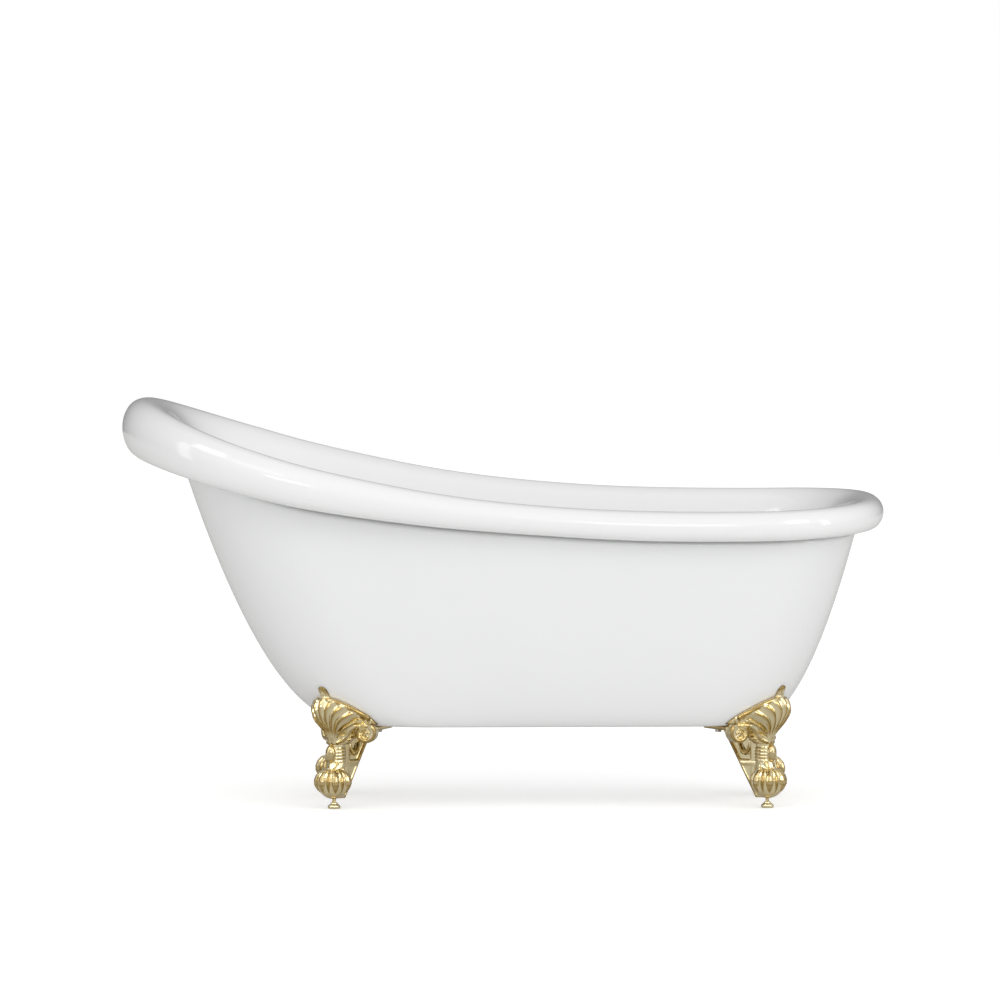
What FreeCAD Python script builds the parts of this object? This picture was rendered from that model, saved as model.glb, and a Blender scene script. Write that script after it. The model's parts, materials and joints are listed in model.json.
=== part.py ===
import FreeCAD, Part

import math
import os

from FreeCAD import Vector

# Single-slipper bathtub on four ball-and-claw feet, in millimetres.
# The floor is Z = 0, X runs from the high head end (-X) to the low end (+X),
# and the tub is the same on both sides of Y = 0.

# Rim: the crest line of the rolled edge
LENGTH = 1500.0
WIDTH = 756.0
LOW_RIM_HEIGHT = 596.0
HEAD_RIM_RISE = 199.0
LOW_END_RISE = 8.0
RISE_START = 440.0
RISE_POWER = 2.4
HEAD_CAP = 350.0
LOW_CAP = 240.0
HEAD_SQUARENESS = 2.3
LOW_SQUARENESS = 2.6
PLAN_TAPER = 0.08
TAPER_AT_MIDDLE = 0.6

# Rolled edge: a deep flare at the head, a slim roll elsewhere
ROLL_HEIGHT = 60.0
ROLL_EXTRA_HEIGHT = 50.0
ROLL_REACH = 35.0
ROLL_EXTRA_REACH = 11.0
LIP_RETURN = 18.0
LIP_EXTRA_RETURN = 50.0
FLARE_POWER = 1.1
ROLL_ANGLES = (32, 62, 90, 122, 155)
ROLL_FULLNESS = 0.8
INNER_ROLL_STEPS = ((0.72, 0.5), (0.36, 0.14))

# Skirt: the separate outer skin
BOTTOM_HEIGHT = 163.0
BOTTOM_HEAD_X = -315.0
BOTTOM_LOW_X = 505.0
BOTTOM_HALF_WIDTH = 190.0
BOTTOM_HEAD_CAP = 200.0
BOTTOM_LOW_CAP = 150.0
SKIRT_WALL = 5.0
SKIRT_BULGE = 1.9
SKIRT_STRIPS = 9
LIP_GAP = 0.5
ENVELOPE_LEVELS = 6
ENVELOPE_CORE = 0.4
ENVELOPE_TOP = 330.0

# Basin: the inner skin
BASIN_WALL = 6.0
FLOOR_HEIGHT = 215.0
FLOOR_HEAD_X = -300.0
FLOOR_LOW_X = 440.0
FLOOR_HALF_WIDTH = 150.0
FLOOR_HEAD_CAP = 180.0
FLOOR_LOW_CAP = 120.0
WALL_STRIPS = 7
SKIN_GAP = 30.0
LOW_END_EXTRA_GAP = 18.0

# Base board and mounting blocks between the skins
BOARD_THICKNESS = 12.0
BOARD_MARGIN = 20.0
BOARD_DRAIN_HOLE = 59.0
BLOCK_LENGTH = 48.0
BLOCK_WIDTH = 80.0

# Feet, each in its own frame: the ball's axis is the origin and X points outwards
HEAD_FOOT_TURN = 44.0
LOW_FOOT_TURN = 56.0
SEAT_HEIGHT = 215.0
SEAT_OVERHANG = 23.0
FOOT_GAP = 0.3
BALL_RADIUS = 32.0
BALL_HEIGHT = 50.0
ANKLE_RADIUS = 18.0
ANKLE_BACKSET = 14.0
ANKLE_BOTTOM = 86.0
ANKLE_TOP = 128.0
ANKLE_RINGS = 4
ANKLE_RING_DEPTH = 2.6
ANKLE_RING_SHAPE = (0.3, 0.7)
FAN_PLATE = 9.0
FAN_TOP = 212.0
FAN_HALF_WIDTH = 88.0
FAN_SIDE_TOP = 176.0
FAN_RIBS = 9
FAN_RIB_RADIUS = 7.5
FAN_ROOT_RADIUS = 3.0
SCROLL_RADIUS = 21.0
SCROLL_DEPTH = 16.0
SCROLL_SIDE = 64.0
SCROLL_HEIGHT = 150.0
SCROLL_TURN = 28.0
SCROLL_BAND = 4.2
SCROLL_RELIEF = 3.0
SCROLL_TURNS = 1.75
SCROLL_LEDGE = 1.0
SCROLL_TAPER = 0.5
CUP_FLARE = ((0.12, 22.0), (0.3, 30.0), (0.6, 36.0), (1.0, 44.0))
CUP_ROOT = 6.0
CUP_EXTRA_RISE = 3.0
FAN_EDGE_DROP = 2.0
PLATE_DROP = 3.0
RIB_SEAT = 0.6
PLATE_SHOULDER = 38.0
SCROLL_BACKSET = 34.0
SCROLL_POINTS = 14
LEAF_LENGTH = 46.0
LEAF_RADIUS = 8.5
LEAF_POINTS = 6
LEAF_FOOT = -8.0
LEAF_HEAD = 34.0
TALON_COUNT = 5
TALON_RADIUS = 7.5
TALON_TIP_RADIUS = 2.6
TALON_START = 70.0
TALON_END = -42.0
TALON_SECTIONS = 5
TALON_FIRST = 216.0
WEB_THICKNESS = 20.0
WEB_FOOT_BACK = 28.0
WEB_FOOT_HEIGHT = 32.0
WEB_TOP_BACK = 120.0
FLANGE_REACH = 126.0
FLANGE_HALF_WIDTH = 42.0

# Fixings from each foot up through the skirt and the block into tee nuts
BOLT_DIAMETER = 8.0
BOLT_CLEARANCE = 0.5
BOLT_HEAD_RADIUS = 7.0
BOLT_HEAD_HEIGHT = 5.5
BOLT_BACK = 98.0
BOLT_SPREAD = 27.0
WASHER_RADIUS = 10.0
WASHER_THICKNESS = 1.6
TEE_NUT_RADIUS = 11.0
TEE_NUT_PLATE = 1.5
TEE_NUT_BARREL_RADIUS = 5.5
TEE_NUT_LENGTH = 12.0
BOLT_END_GAP = 1.0

# Levelling screws
LEVELLER_DIAMETER = 8.0
THREAD_CLEARANCE = 0.05
LEVELLER_LENGTH = 58.0
LEVELLER_SOCKET_DEPTH = 80.0
PAD_RADIUS = 12.5
PAD_RIM = 4.0
PAD_HEIGHT = 12.0
PAD_NECK_RADIUS = 6.5
PAD_FLOOR = 3.0
STEM_END_GAP = 0.3

# Waste
DRAIN_X = 330.0
DRAIN_RADIUS = 19.0
DRAIN_BORE = 16.0
DRAIN_FLANGE_RADIUS = 35.0
DRAIN_FLANGE_HEIGHT = 2.5
DRAIN_TAIL = 20.0
DRAIN_CHAMFER = 2.0
DRAIN_HOLE_CLEARANCE = 1.0
GASKET_THICKNESS = 3.0
GASKET_RADIUS = 32.0
SHOE_RADIUS = 23.9
SHOE_BOTTOM_GAP = 1.5
SHOE_FLANGE = 4.0
SHOE_LEDGE = 1.0
OUTLET_BORE = 20.1
OUTLET_LENGTH = 9.0
SKIRT_DRAIN_HOLE = 45.0
BRIDGE_DROP = 15.0
BRIDGE_THICKNESS = 4.0
BRIDGE_WIDTH = 5.0
BRIDGE_HUB = 6.0
BRIDGE_ROOT = 1.0
STOPPER_STEM_RADIUS = 3.0
STOPPER_STEM_CLEARANCE = 0.05
STOPPER_STEM_LENGTH = 30.0
STOPPER_RADIUS = 23.0
STOPPER_THICKNESS = 4.0
STOPPER_EDGE = 1.5
STOPPER_CHAMFER = 3.0
STOPPER_CROWN = 1.0
SEAL_RADIUS = 20.0
SEAL_THICKNESS = 2.5
SEAL_SEAT_GAP = 0.3

# Overflow
OVERFLOW_HEIGHT = 495.0
OVERFLOW_COVER_RADIUS = 34.0
OVERFLOW_COVER_RISE = 7.0
OVERFLOW_COVER_WALL = 2.5
OVERFLOW_SEAT_RADIUS = 37.0
SEAT_FRONT = 3.0
SEAT_BACK = 8.0
OVERFLOW_SLOT = 7.0
OVERFLOW_HOLE_RADIUS = 22.0
OVERFLOW_GASKET_RADIUS = 30.0
OVERFLOW_GASKET_THICKNESS = 3.0
OVERFLOW_HEAD_RADIUS = 26.0
OVERFLOW_HEAD_DEPTH = 26.0
OVERFLOW_HEAD_WALL = 3.0
POST_GAP = 1.0
OVERFLOW_SCREW_SPREAD = 15.0
OVERFLOW_SCREW_RADIUS = 2.5
SCREW_CLEARANCE = 0.3
SCREW_HEAD_HEIGHT = 2.0
PIPE_RADIUS = 10.0
PIPE_BORE = 8.0
PIPE_BEND = 40.0
PIPE_CLEARANCE = 0.1
PIPE_INSET = 3.0
PORT_RADIUS = 12.5
PORT_LENGTH = 14.0
PORT_HEIGHT = 182.5
PIPE_KNEE_HEIGHT = 310.0
PIPE_RUN = 165.0
PIPE_NUT_RADIUS = 14.0
PIPE_NUT_LENGTH = 10.0

# Points that each closed outline passes through, per quarter
LOW_CAP_POINTS = 5
SIDE_POINTS = 4
HEAD_CAP_POINTS = 6
OUTLINE_SAMPLES = 400

UP = Vector(0, 0, 1)
ORIGIN = Vector(0, 0, 0)

HEAD_CREST_X = -LENGTH / 2 + ROLL_REACH + ROLL_EXTRA_REACH
LOW_CREST_X = LENGTH / 2 - ROLL_REACH
CREST_HALF_WIDTH = WIDTH / 2 - ROLL_REACH - ROLL_EXTRA_REACH / 2
CREST_HALF_WIDTH /= 1 + TAPER_AT_MIDDLE * PLAN_TAPER
BLOCK_TOP = FLOOR_HEIGHT - BASIN_WALL - BOARD_THICKNESS
SHOE_TOP = FLOOR_HEIGHT - BASIN_WALL - GASKET_THICKNESS
BOLT_HOLE_RADIUS = BOLT_DIAMETER / 2 + BOLT_CLEARANCE
SIDES = {"far": 1, "near": -1}
WASHER_BOTTOM = BOTTOM_HEIGHT - FAN_PLATE - WASHER_THICKNESS
SHOE_BOTTOM = BOTTOM_HEIGHT + SHOE_BOTTOM_GAP
STOPPER_BOTTOM = FLOOR_HEIGHT + DRAIN_FLANGE_HEIGHT + SEAL_SEAT_GAP + SEAL_THICKNESS
HEAD_FRONT = SEAT_BACK + OVERFLOW_GASKET_THICKNESS
PORT_DEPTH = -HEAD_FRONT - OVERFLOW_HEAD_DEPTH / 2


# ---------------------------------------------------------------- outlines

def outline(head_x, low_x, half_width, head_cap, low_cap):
    """Closed plan outline: rounded low end, nearly straight sides, rounder head."""
    quarter = []
    for i in range(LOW_CAP_POINTS):
        angle = math.pi / 2 * i / LOW_CAP_POINTS
        along = math.cos(angle) ** (2 / LOW_SQUARENESS)
        aside = math.sin(angle) ** (2 / LOW_SQUARENESS)
        quarter.append((low_x - low_cap + low_cap * along, half_width * aside))
    straight = low_x - low_cap - head_x - head_cap
    for i in range(SIDE_POINTS):
        quarter.append((low_x - low_cap - straight * i / SIDE_POINTS, half_width))
    for i in range(HEAD_CAP_POINTS + 1):
        angle = math.pi / 2 * i / HEAD_CAP_POINTS
        along = math.sin(angle) ** (2 / HEAD_SQUARENESS)
        aside = max(math.cos(angle), 0.0) ** (2 / HEAD_SQUARENESS)
        quarter.append((head_x + head_cap - head_cap * along, half_width * aside))
    middle = (head_x + low_x) / 2
    half_length = (low_x - head_x) / 2
    tapered = [(x, y * (1 - PLAN_TAPER * (x - middle) / half_length)) for x, y in quarter]
    tapered[-1] = (head_x, 0.0)
    return tapered + [(x, -y) for x, y in tapered[-2:0:-1]]


def plan_normals(points):
    """Outward unit normals of a closed counter-clockwise outline."""
    normals = []
    for i in range(len(points)):
        before = points[i - 1]
        after = points[(i + 1) % len(points)]
        length = math.dist(before[:2], after[:2])
        normals.append(((after[1] - before[1]) / length, (before[0] - after[0]) / length))
    return normals


CREST = outline(HEAD_CREST_X, LOW_CREST_X, CREST_HALF_WIDTH, HEAD_CAP, LOW_CAP)
CREST_NORMALS = plan_normals(CREST)


def crest_height(x):
    """Height of the rim: level along the low end, sweeping up to the head."""
    if x < RISE_START:
        share = (RISE_START - x) / (RISE_START - HEAD_CREST_X)
        return LOW_RIM_HEIGHT + HEAD_RIM_RISE * share ** RISE_POWER
    share = (x - RISE_START) / (LOW_CREST_X - RISE_START)
    return LOW_RIM_HEIGHT + LOW_END_RISE * share ** 2


def head_share(x):
    """0 from mid length to the low end, 1 at the head."""
    return max(x / HEAD_CREST_X, 0.0) ** FLARE_POWER


def low_share(x):
    """0 up to the low end's cap, 1 at the low end."""
    return max((x - LOW_CREST_X + LOW_CAP) / LOW_CAP, 0.0)


def roll_height(x):
    return ROLL_HEIGHT + ROLL_EXTRA_HEIGHT * head_share(x)


def roll_reach(x):
    return ROLL_REACH + ROLL_EXTRA_REACH * head_share(x)


def lip_return(x):
    return LIP_RETURN + LIP_EXTRA_RETURN * head_share(x)


def wall_return(x):
    return lip_return(x) + SKIRT_WALL + BASIN_WALL + SKIN_GAP + LOW_END_EXTRA_GAP * low_share(x)


def rim_ring(offset, drop):
    """The ring that lies offset(x) outside the crest line and drop(x) below it."""
    ring = []
    for (x, y), (nx, ny) in zip(CREST, CREST_NORMALS):
        reach = offset(x)
        ring.append(Vector(x + nx * reach, y + ny * reach, crest_height(x) - drop(x)))
    return ring


def roll_ring(degrees):
    """A ring of the rolled edge, from the crest (0) over and under to the lip (180)."""
    angle = math.radians(degrees)
    return rim_ring(
        lambda x: roll_reach(x) * math.sin(angle) ** ROLL_FULLNESS,
        lambda x: roll_height(x) * (1 - math.cos(angle)) / 2,
    )


def inner_roll_ring(inward, down):
    """A ring between the crest and the basin's wall, as shares of the way there."""
    return rim_ring(lambda x: -inward * wall_return(x), lambda x: down * roll_height(x))


def flat_ring(points, height):
    return [Vector(x, y, height) for x, y in points]


def wall_ring(bottom, top, share):
    """A ring of a bowed wall: it leaves the bottom flat and steepens upwards."""
    ring = []
    for low, high in zip(bottom, top):
        point = low + (high - low) * share
        point.z = low.z + (high.z - low.z) * share ** SKIRT_BULGE
        ring.append(point)
    return ring


def moved_ring(rings, index, distance):
    """Ring moved square to the surface that the rings make; outwards is positive."""
    ring = rings[index]
    below = rings[max(index - 1, 0)]
    above = rings[min(index + 1, len(rings) - 1)]
    moved = []
    for i, point in enumerate(ring):
        along = ring[(i + 1) % len(ring)] - ring[i - 1]
        normal = along.cross(above[i] - below[i])
        normal.normalize()
        moved.append(point + normal * distance)
    return moved


def ring_wire(ring):
    """Closed smooth wire through a ring's points."""
    count = len(ring)
    curve = Part.BSplineCurve()
    curve.interpolate(
        Points=ring,
        PeriodicFlag=True,
        Parameters=[i / count for i in range(count + 1)],
    )
    return Part.Wire([curve.toShape()])


def loft(rings):
    """Solid through closed rings, capped flat at the first and the last."""
    return Part.makeLoft([ring_wire(ring) for ring in rings], True, True)


BOTTOM = outline(BOTTOM_HEAD_X, BOTTOM_LOW_X, BOTTOM_HALF_WIDTH, BOTTOM_HEAD_CAP, BOTTOM_LOW_CAP)
FLOOR = outline(FLOOR_HEAD_X, FLOOR_LOW_X, FLOOR_HALF_WIDTH, FLOOR_HEAD_CAP, FLOOR_LOW_CAP)

SKIRT_BOTTOM = flat_ring(BOTTOM, BOTTOM_HEIGHT)
SKIRT_TOP = rim_ring(lambda x: -lip_return(x), lambda x: roll_height(x) + LIP_GAP)
SKIRT_RINGS = [
    wall_ring(SKIRT_BOTTOM, SKIRT_TOP, i / SKIRT_STRIPS) for i in range(SKIRT_STRIPS + 1)
]

WALL_BOTTOM = flat_ring(FLOOR, FLOOR_HEIGHT)
WALL_TOP = inner_roll_ring(1.0, 1.0)
BASIN_RINGS = [wall_ring(WALL_BOTTOM, WALL_TOP, i / WALL_STRIPS) for i in range(WALL_STRIPS + 1)]
BASIN_RINGS += [inner_roll_ring(inward, down) for inward, down in INNER_ROLL_STEPS]
BASIN_RINGS += [roll_ring(0)]
BASIN_RINGS += [roll_ring(degrees) for degrees in ROLL_ANGLES]
BASIN_RINGS += [rim_ring(lambda x: -lip_return(x) + 2 * SKIRT_WALL, roll_height)]


# ---------------------------------------------------------------- small helpers

def cylinder(radius, height, base, axis=UP):
    return Part.makeCylinder(radius, height, base, axis)


def tube(outer, inner, height, base, axis=UP):
    return cylinder(outer, height, base, axis).cut(cylinder(inner, height, base, axis))


def revolved(profile):
    """Solid of revolution about Z from (radius, height) points."""
    points = [Vector(radius, 0, height) for radius, height in profile]
    face = Part.Face(Part.makePolygon(points + points[:1]))
    return face.revolve(ORIGIN, UP, 360)


def prism(points, direction):
    """Closed polygon pushed along a vector."""
    return Part.Face(Part.makePolygon(points + points[:1])).extrude(direction)


def fused(shapes):
    body = shapes[0]
    for shape in shapes[1:]:
        body = body.fuse(shape)
    return body


def export(name, shape):
    shape.exportStep("parts/" + name + ".step")


# ---------------------------------------------------------------- skins

def basin_shell():
    """Inner skin: floor, walls and rolled rim in one moulding, with its two water holes.

    A flat seat is moulded into the low end's wall on both sides of the overflow hole.
    """
    hidden = range(len(BASIN_RINGS) - 1, 0, -1)
    back = [moved_ring(BASIN_RINGS, index, BASIN_WALL) for index in hidden]
    back.append(flat_ring(FLOOR, FLOOR_HEIGHT - BASIN_WALL))
    drain = cylinder(
        DRAIN_RADIUS + DRAIN_HOLE_CLEARANCE,
        4 * BASIN_WALL,
        Vector(DRAIN_X, 0, FLOOR_HEIGHT - 2 * BASIN_WALL),
    )
    seat = on_wall(cylinder(OVERFLOW_SEAT_RADIUS, SEAT_FRONT + SEAT_BACK, UP * -SEAT_BACK))
    hole = on_wall(cylinder(OVERFLOW_HOLE_RADIUS, 4 * SEAT_BACK, UP * (-2 * SEAT_BACK)))
    return loft(BASIN_RINGS + back).cut(drain).fuse(seat).cut(hole)


def skirt_shell():
    """Outer skin: an open bowl whose top edge sits under the rolled rim."""
    hidden = range(len(SKIRT_RINGS) - 1, 0, -1)
    inside = [moved_ring(SKIRT_RINGS, index, -SKIRT_WALL) for index in hidden]
    inside.append(flat_ring(BOTTOM, BOTTOM_HEIGHT + SKIRT_WALL))
    hole = cylinder(SKIRT_DRAIN_HOLE, 4 * SKIRT_WALL, Vector(DRAIN_X, 0, BOTTOM_HEIGHT - SKIRT_WALL))
    shell = loft(SKIRT_RINGS + inside).cut(hole)
    for spot in bolt_spots():
        drill = cylinder(BOLT_HOLE_RADIUS, 4 * SKIRT_WALL, spot + UP * (BOTTOM_HEIGHT - SKIRT_WALL))
        shell = shell.cut(all_corners(drill))
    return shell


def skirt_envelope(grow):
    """Solid with the outer shape of the skirt's lower half, grown outwards all over."""
    bottom = flat_ring(BOTTOM, BOTTOM_HEIGHT - grow)
    rings = [moved_ring(SKIRT_RINGS, index, grow) for index in range(1, ENVELOPE_LEVELS + 1)]
    core = [(point.x * ENVELOPE_CORE, point.y * ENVELOPE_CORE) for point in rings[-1]]
    return loft([bottom] + rings + [flat_ring(core, ENVELOPE_TOP)])


# ---------------------------------------------------------------- places of the feet

def level_outline(height):
    """The skirt's outline at one height, as close points."""
    ring = []
    for low, high in zip(SKIRT_BOTTOM, SKIRT_TOP):
        share = ((height - low.z) / (high.z - low.z)) ** (1 / SKIRT_BULGE)
        point = low + (high - low) * share
        ring.append(Vector(point.x, point.y, height))
    return ring_wire(ring).discretize(OUTLINE_SAMPLES)


def foot_place(turn):
    """Placement of the far foot whose skin faces turn degrees from +Y towards +X."""
    ring = level_outline(SEAT_HEIGHT)
    facing = math.radians(turn)
    outwards = Vector(math.sin(facing), math.cos(facing), 0)
    seat = max(ring, key=lambda point: point.dot(outwards))
    axis = seat - outwards * SEAT_OVERHANG
    rotation = FreeCAD.Rotation(UP, 90 - turn)
    return FreeCAD.Placement(Vector(axis.x, axis.y, 0), rotation)


def skirt_reach(place, aside, height):
    """How far outwards the skirt lies from the ball's axis, in the foot's frame."""
    start = place.multVec(Vector(0, aside, height))
    outwards = place.Rotation.multVec(Vector(1, 0, 0))
    ring = level_outline(height)
    reaches = []
    for first, second in zip(ring, ring[1:]):
        edge = second - first
        gap = first - start
        cross = outwards.x * edge.y - outwards.y * edge.x
        if cross == 0:
            continue
        share = (gap.x * outwards.y - gap.y * outwards.x) / cross
        if 0 <= share <= 1:
            reaches.append((gap.x * edge.y - gap.y * edge.x) / cross)
    return max(reaches)


HEAD_PLACE = foot_place(-HEAD_FOOT_TURN)
LOW_PLACE = foot_place(LOW_FOOT_TURN)
FOOT_PLACES = {"head": HEAD_PLACE, "low": LOW_PLACE}


def both_sides(shape):
    """The far shape and its mirror image on the near side."""
    return {"far": shape, "near": shape.mirror(ORIGIN, Vector(0, 1, 0))}


def all_corners(shape):
    """Copies of a shape from the foot's frame at all four feet."""
    corners = []
    for place in FOOT_PLACES.values():
        placed = shape.copy()
        placed.Placement = place.multiply(placed.Placement)
        corners.extend(both_sides(placed).values())
    return corners


def bolt_spots():
    """Bolt positions on the foot's flange, in the foot's frame."""
    return [Vector(-BOLT_BACK, side * BOLT_SPREAD, 0) for side in SIDES.values()]


# ---------------------------------------------------------------- feet

def ankle():
    """Ringed ankle between the ball and the fan, as one turned profile."""
    pitch = (ANKLE_TOP - ANKLE_BOTTOM) / ANKLE_RINGS
    profile = [(0, BALL_HEIGHT), (ANKLE_RADIUS, BALL_HEIGHT)]
    for ring in range(ANKLE_RINGS):
        low = ANKLE_BOTTOM + ring * pitch
        profile.append((ANKLE_RADIUS, low))
        for share in ANKLE_RING_SHAPE:
            profile.append((ANKLE_RADIUS + ANKLE_RING_DEPTH, low + share * pitch))
    profile += [(ANKLE_RADIUS, ANKLE_TOP), (0, ANKLE_TOP)]
    return revolved(profile).translated(Vector(-ANKLE_BACKSET, 0, 0))


def cup():
    """Flaring cup that carries the tub's corner, from the ankle up behind the fan."""
    profile = [(0, ANKLE_TOP - CUP_ROOT), (ANKLE_RADIUS, ANKLE_TOP - CUP_ROOT)]
    rise = FAN_TOP + CUP_EXTRA_RISE - ANKLE_TOP
    for share, radius in CUP_FLARE:
        profile.append((radius, ANKLE_TOP + share * rise))
    profile.append((0, ANKLE_TOP + rise))
    return revolved(profile).translated(Vector(-ANKLE_BACKSET, 0, 0))


def fan_outline():
    """Front view of the fan: its top edge falls from the leaf to the scrolls."""
    half = [
        Vector(0, LEAF_RADIUS, FAN_TOP),
        Vector(0, FAN_HALF_WIDTH, FAN_SIDE_TOP),
        Vector(0, FAN_HALF_WIDTH, BOTTOM_HEIGHT - FAN_PLATE - FAN_EDGE_DROP),
    ]
    other = [Vector(0, -point.y, point.z) for point in reversed(half)]
    return half + other


def fan_plate(grown):
    """Plate that hugs the tub's corner, with the flange under the tub's bottom."""
    back = [point - Vector(FLANGE_REACH, 0, 0) for point in fan_outline()]
    front = prism(back, Vector(2 * FLANGE_REACH, 0, 0))
    low = BOTTOM_HEIGHT - FAN_PLATE - PLATE_DROP
    plan = [
        Vector(FLANGE_REACH, FAN_HALF_WIDTH, low),
        Vector(-PLATE_SHOULDER, FAN_HALF_WIDTH, low),
        Vector(-FLANGE_REACH, FLANGE_HALF_WIDTH, low),
    ]
    plan += [Vector(point.x, -point.y, low) for point in reversed(plan)]
    return front.common(prism(plan, Vector(0, 0, FAN_TOP))).common(grown)


def fan_ribs(place):
    """Acanthus ribs that spread from the ankle to the fan's top edge."""
    ribs = []
    root = Vector(-ANKLE_BACKSET + ANKLE_RADIUS - FAN_ROOT_RADIUS, 0, ANKLE_TOP)
    for i in range(FAN_RIBS):
        share = 2 * i / (FAN_RIBS - 1) - 1
        aside = share * (FAN_HALF_WIDTH - 2 * FAN_RIB_RADIUS)
        height = FAN_TOP - abs(share) * (FAN_TOP - FAN_SIDE_TOP)
        reach = skirt_reach(place, aside, height - FAN_RIB_RADIUS)
        tip = Vector(reach + RIB_SEAT * FAN_PLATE, aside, height - FAN_RIB_RADIUS)
        start = root + Vector(0, share * ANKLE_RADIUS, 0)
        run = tip - start
        ribs.append(Part.makeCone(FAN_ROOT_RADIUS, FAN_RIB_RADIUS, run.Length, start, run))
    return ribs


def volute_band():
    """Raised spiral band of a scroll, in a plane, from its eye to its rim."""
    outer = []
    inner = []
    for i in range(SCROLL_POINTS + 1):
        share = i / SCROLL_POINTS
        angle = 2 * math.pi * SCROLL_TURNS * share
        radius = SCROLL_BAND + (SCROLL_RADIUS - SCROLL_BAND) * share
        width = SCROLL_BAND * (SCROLL_TAPER + (1 - SCROLL_TAPER) * share)
        outer.append(Vector(radius * math.cos(angle), radius * math.sin(angle), 0))
        radius -= width
        inner.append(Vector(radius * math.cos(angle), radius * math.sin(angle), 0))
    curves = []
    for points in (outer, inner):
        curve = Part.BSplineCurve()
        curve.interpolate(points)
        curves.append(curve.toShape())
    ends = [Part.makeLine(outer[i], inner[i]) for i in (0, -1)]
    wire = Part.Wire(Part.__sortEdges__(curves + ends))
    band = Part.Face(wire).extrude(UP * 2 * SCROLL_RELIEF)
    return band.translated(UP * (SCROLL_DEPTH - SCROLL_RELIEF))


def scroll(side):
    """Volute that closes one end of the fan: a disc, a spiral band and a round eye."""
    disc = cylinder(SCROLL_RADIUS - SCROLL_LEDGE, SCROLL_DEPTH, ORIGIN)
    eye = cylinder(SCROLL_BAND + SCROLL_LEDGE, SCROLL_DEPTH + SCROLL_RELIEF, ORIGIN)
    body = fused([disc, eye, volute_band()])
    if side < 0:
        body = body.mirror(ORIGIN, Vector(0, 1, 0))
    body.rotate(ORIGIN, Vector(0, 1, 0), 90)
    body.rotate(ORIGIN, UP, side * SCROLL_TURN)
    body.translate(Vector(-SCROLL_BACKSET, side * SCROLL_SIDE, SCROLL_HEIGHT))
    return body


def leaf(place):
    """Finial leaf that lies on the tub above the fan."""
    profile = []
    for i in range(LEAF_POINTS + 1):
        share = 2 * i / LEAF_POINTS - 1
        profile.append((LEAF_RADIUS * (1 - share ** 2), share * LEAF_LENGTH / 2))
    body = revolved(profile)
    heights = (FAN_TOP + LEAF_FOOT, FAN_TOP + LEAF_HEAD)
    low, high = [Vector(skirt_reach(place, 0, height), 0, height) for height in heights]
    lean = math.degrees(math.atan2(high.x - low.x, high.z - low.z))
    body.rotate(ORIGIN, Vector(0, 1, 0), lean)
    body.translate((low + high) / 2)
    return body


def talon(degrees):
    """Claw that curves from the ankle down over the ball, at one angle round it."""
    wires = []
    for i in range(TALON_SECTIONS):
        share = i / (TALON_SECTIONS - 1)
        angle = math.radians(TALON_START + (TALON_END - TALON_START) * share)
        radius = TALON_RADIUS + (TALON_TIP_RADIUS - TALON_RADIUS) * share
        center = Vector(BALL_RADIUS * math.cos(angle), 0, BALL_HEIGHT + BALL_RADIUS * math.sin(angle))
        tangent = Vector(math.sin(angle), 0, -math.cos(angle))
        wires.append(Part.Wire([Part.makeCircle(radius, center, tangent)]))
    claw = Part.makeLoft(wires, True, True)
    claw.rotate(ORIGIN, UP, degrees)
    return claw


def web():
    """Flat inner strut from the ball up to the flange, with a straight slanted edge."""
    points = [
        Vector(-WEB_FOOT_BACK, -WEB_THICKNESS / 2, WEB_FOOT_HEIGHT),
        Vector(-WEB_TOP_BACK, -WEB_THICKNESS / 2, BOTTOM_HEIGHT - FAN_PLATE),
        Vector(-ANKLE_BACKSET, -WEB_THICKNESS / 2, BOTTOM_HEIGHT - FAN_PLATE),
        Vector(-ANKLE_BACKSET, -WEB_THICKNESS / 2, WEB_FOOT_HEIGHT),
    ]
    return prism(points, Vector(0, WEB_THICKNESS, 0))


def foot(place, envelope, grown):
    """One cast ball-and-claw foot, shaped to the tub's corner and drilled."""
    local = place.inverse()
    plate = fan_plate(grown.transformed(local.toMatrix()))
    pieces = [Part.makeSphere(BALL_RADIUS, Vector(0, 0, BALL_HEIGHT)), ankle(), cup(), plate, web()]
    pieces += fan_ribs(place)
    pieces += [scroll(side) for side in SIDES.values()]
    pieces += [talon(TALON_FIRST + 360 * i / TALON_COUNT) for i in range(TALON_COUNT)]
    pieces.append(leaf(place))
    body = fused(pieces).cut(envelope.transformed(local.toMatrix()))
    screw = LEVELLER_DIAMETER / 2 + THREAD_CLEARANCE
    body = body.cut(cylinder(screw, LEVELLER_SOCKET_DEPTH, ORIGIN))
    for spot in bolt_spots():
        drill = spot + UP * (BOTTOM_HEIGHT - 2 * FAN_PLATE)
        body = body.cut(cylinder(BOLT_HOLE_RADIUS, 3 * FAN_PLATE, drill))
    solid = max(body.Solids, key=lambda piece: piece.Volume)
    return solid.transformed(place.toMatrix())


# ---------------------------------------------------------------- between the skins

def base_board():
    """Board under the basin's floor, with a round opening for the waste."""
    outline_points = outline(
        FLOOR_HEAD_X - BOARD_MARGIN,
        FLOOR_LOW_X + BOARD_MARGIN,
        FLOOR_HALF_WIDTH + BOARD_MARGIN,
        FLOOR_HEAD_CAP + BOARD_MARGIN,
        FLOOR_LOW_CAP + BOARD_MARGIN,
    )
    face = Part.Face(ring_wire(flat_ring(outline_points, BLOCK_TOP)))
    board = face.extrude(UP * BOARD_THICKNESS)
    return board.cut(cylinder(BOARD_DRAIN_HOLE, 2 * BLOCK_TOP, Vector(DRAIN_X, 0, 0)))


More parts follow.
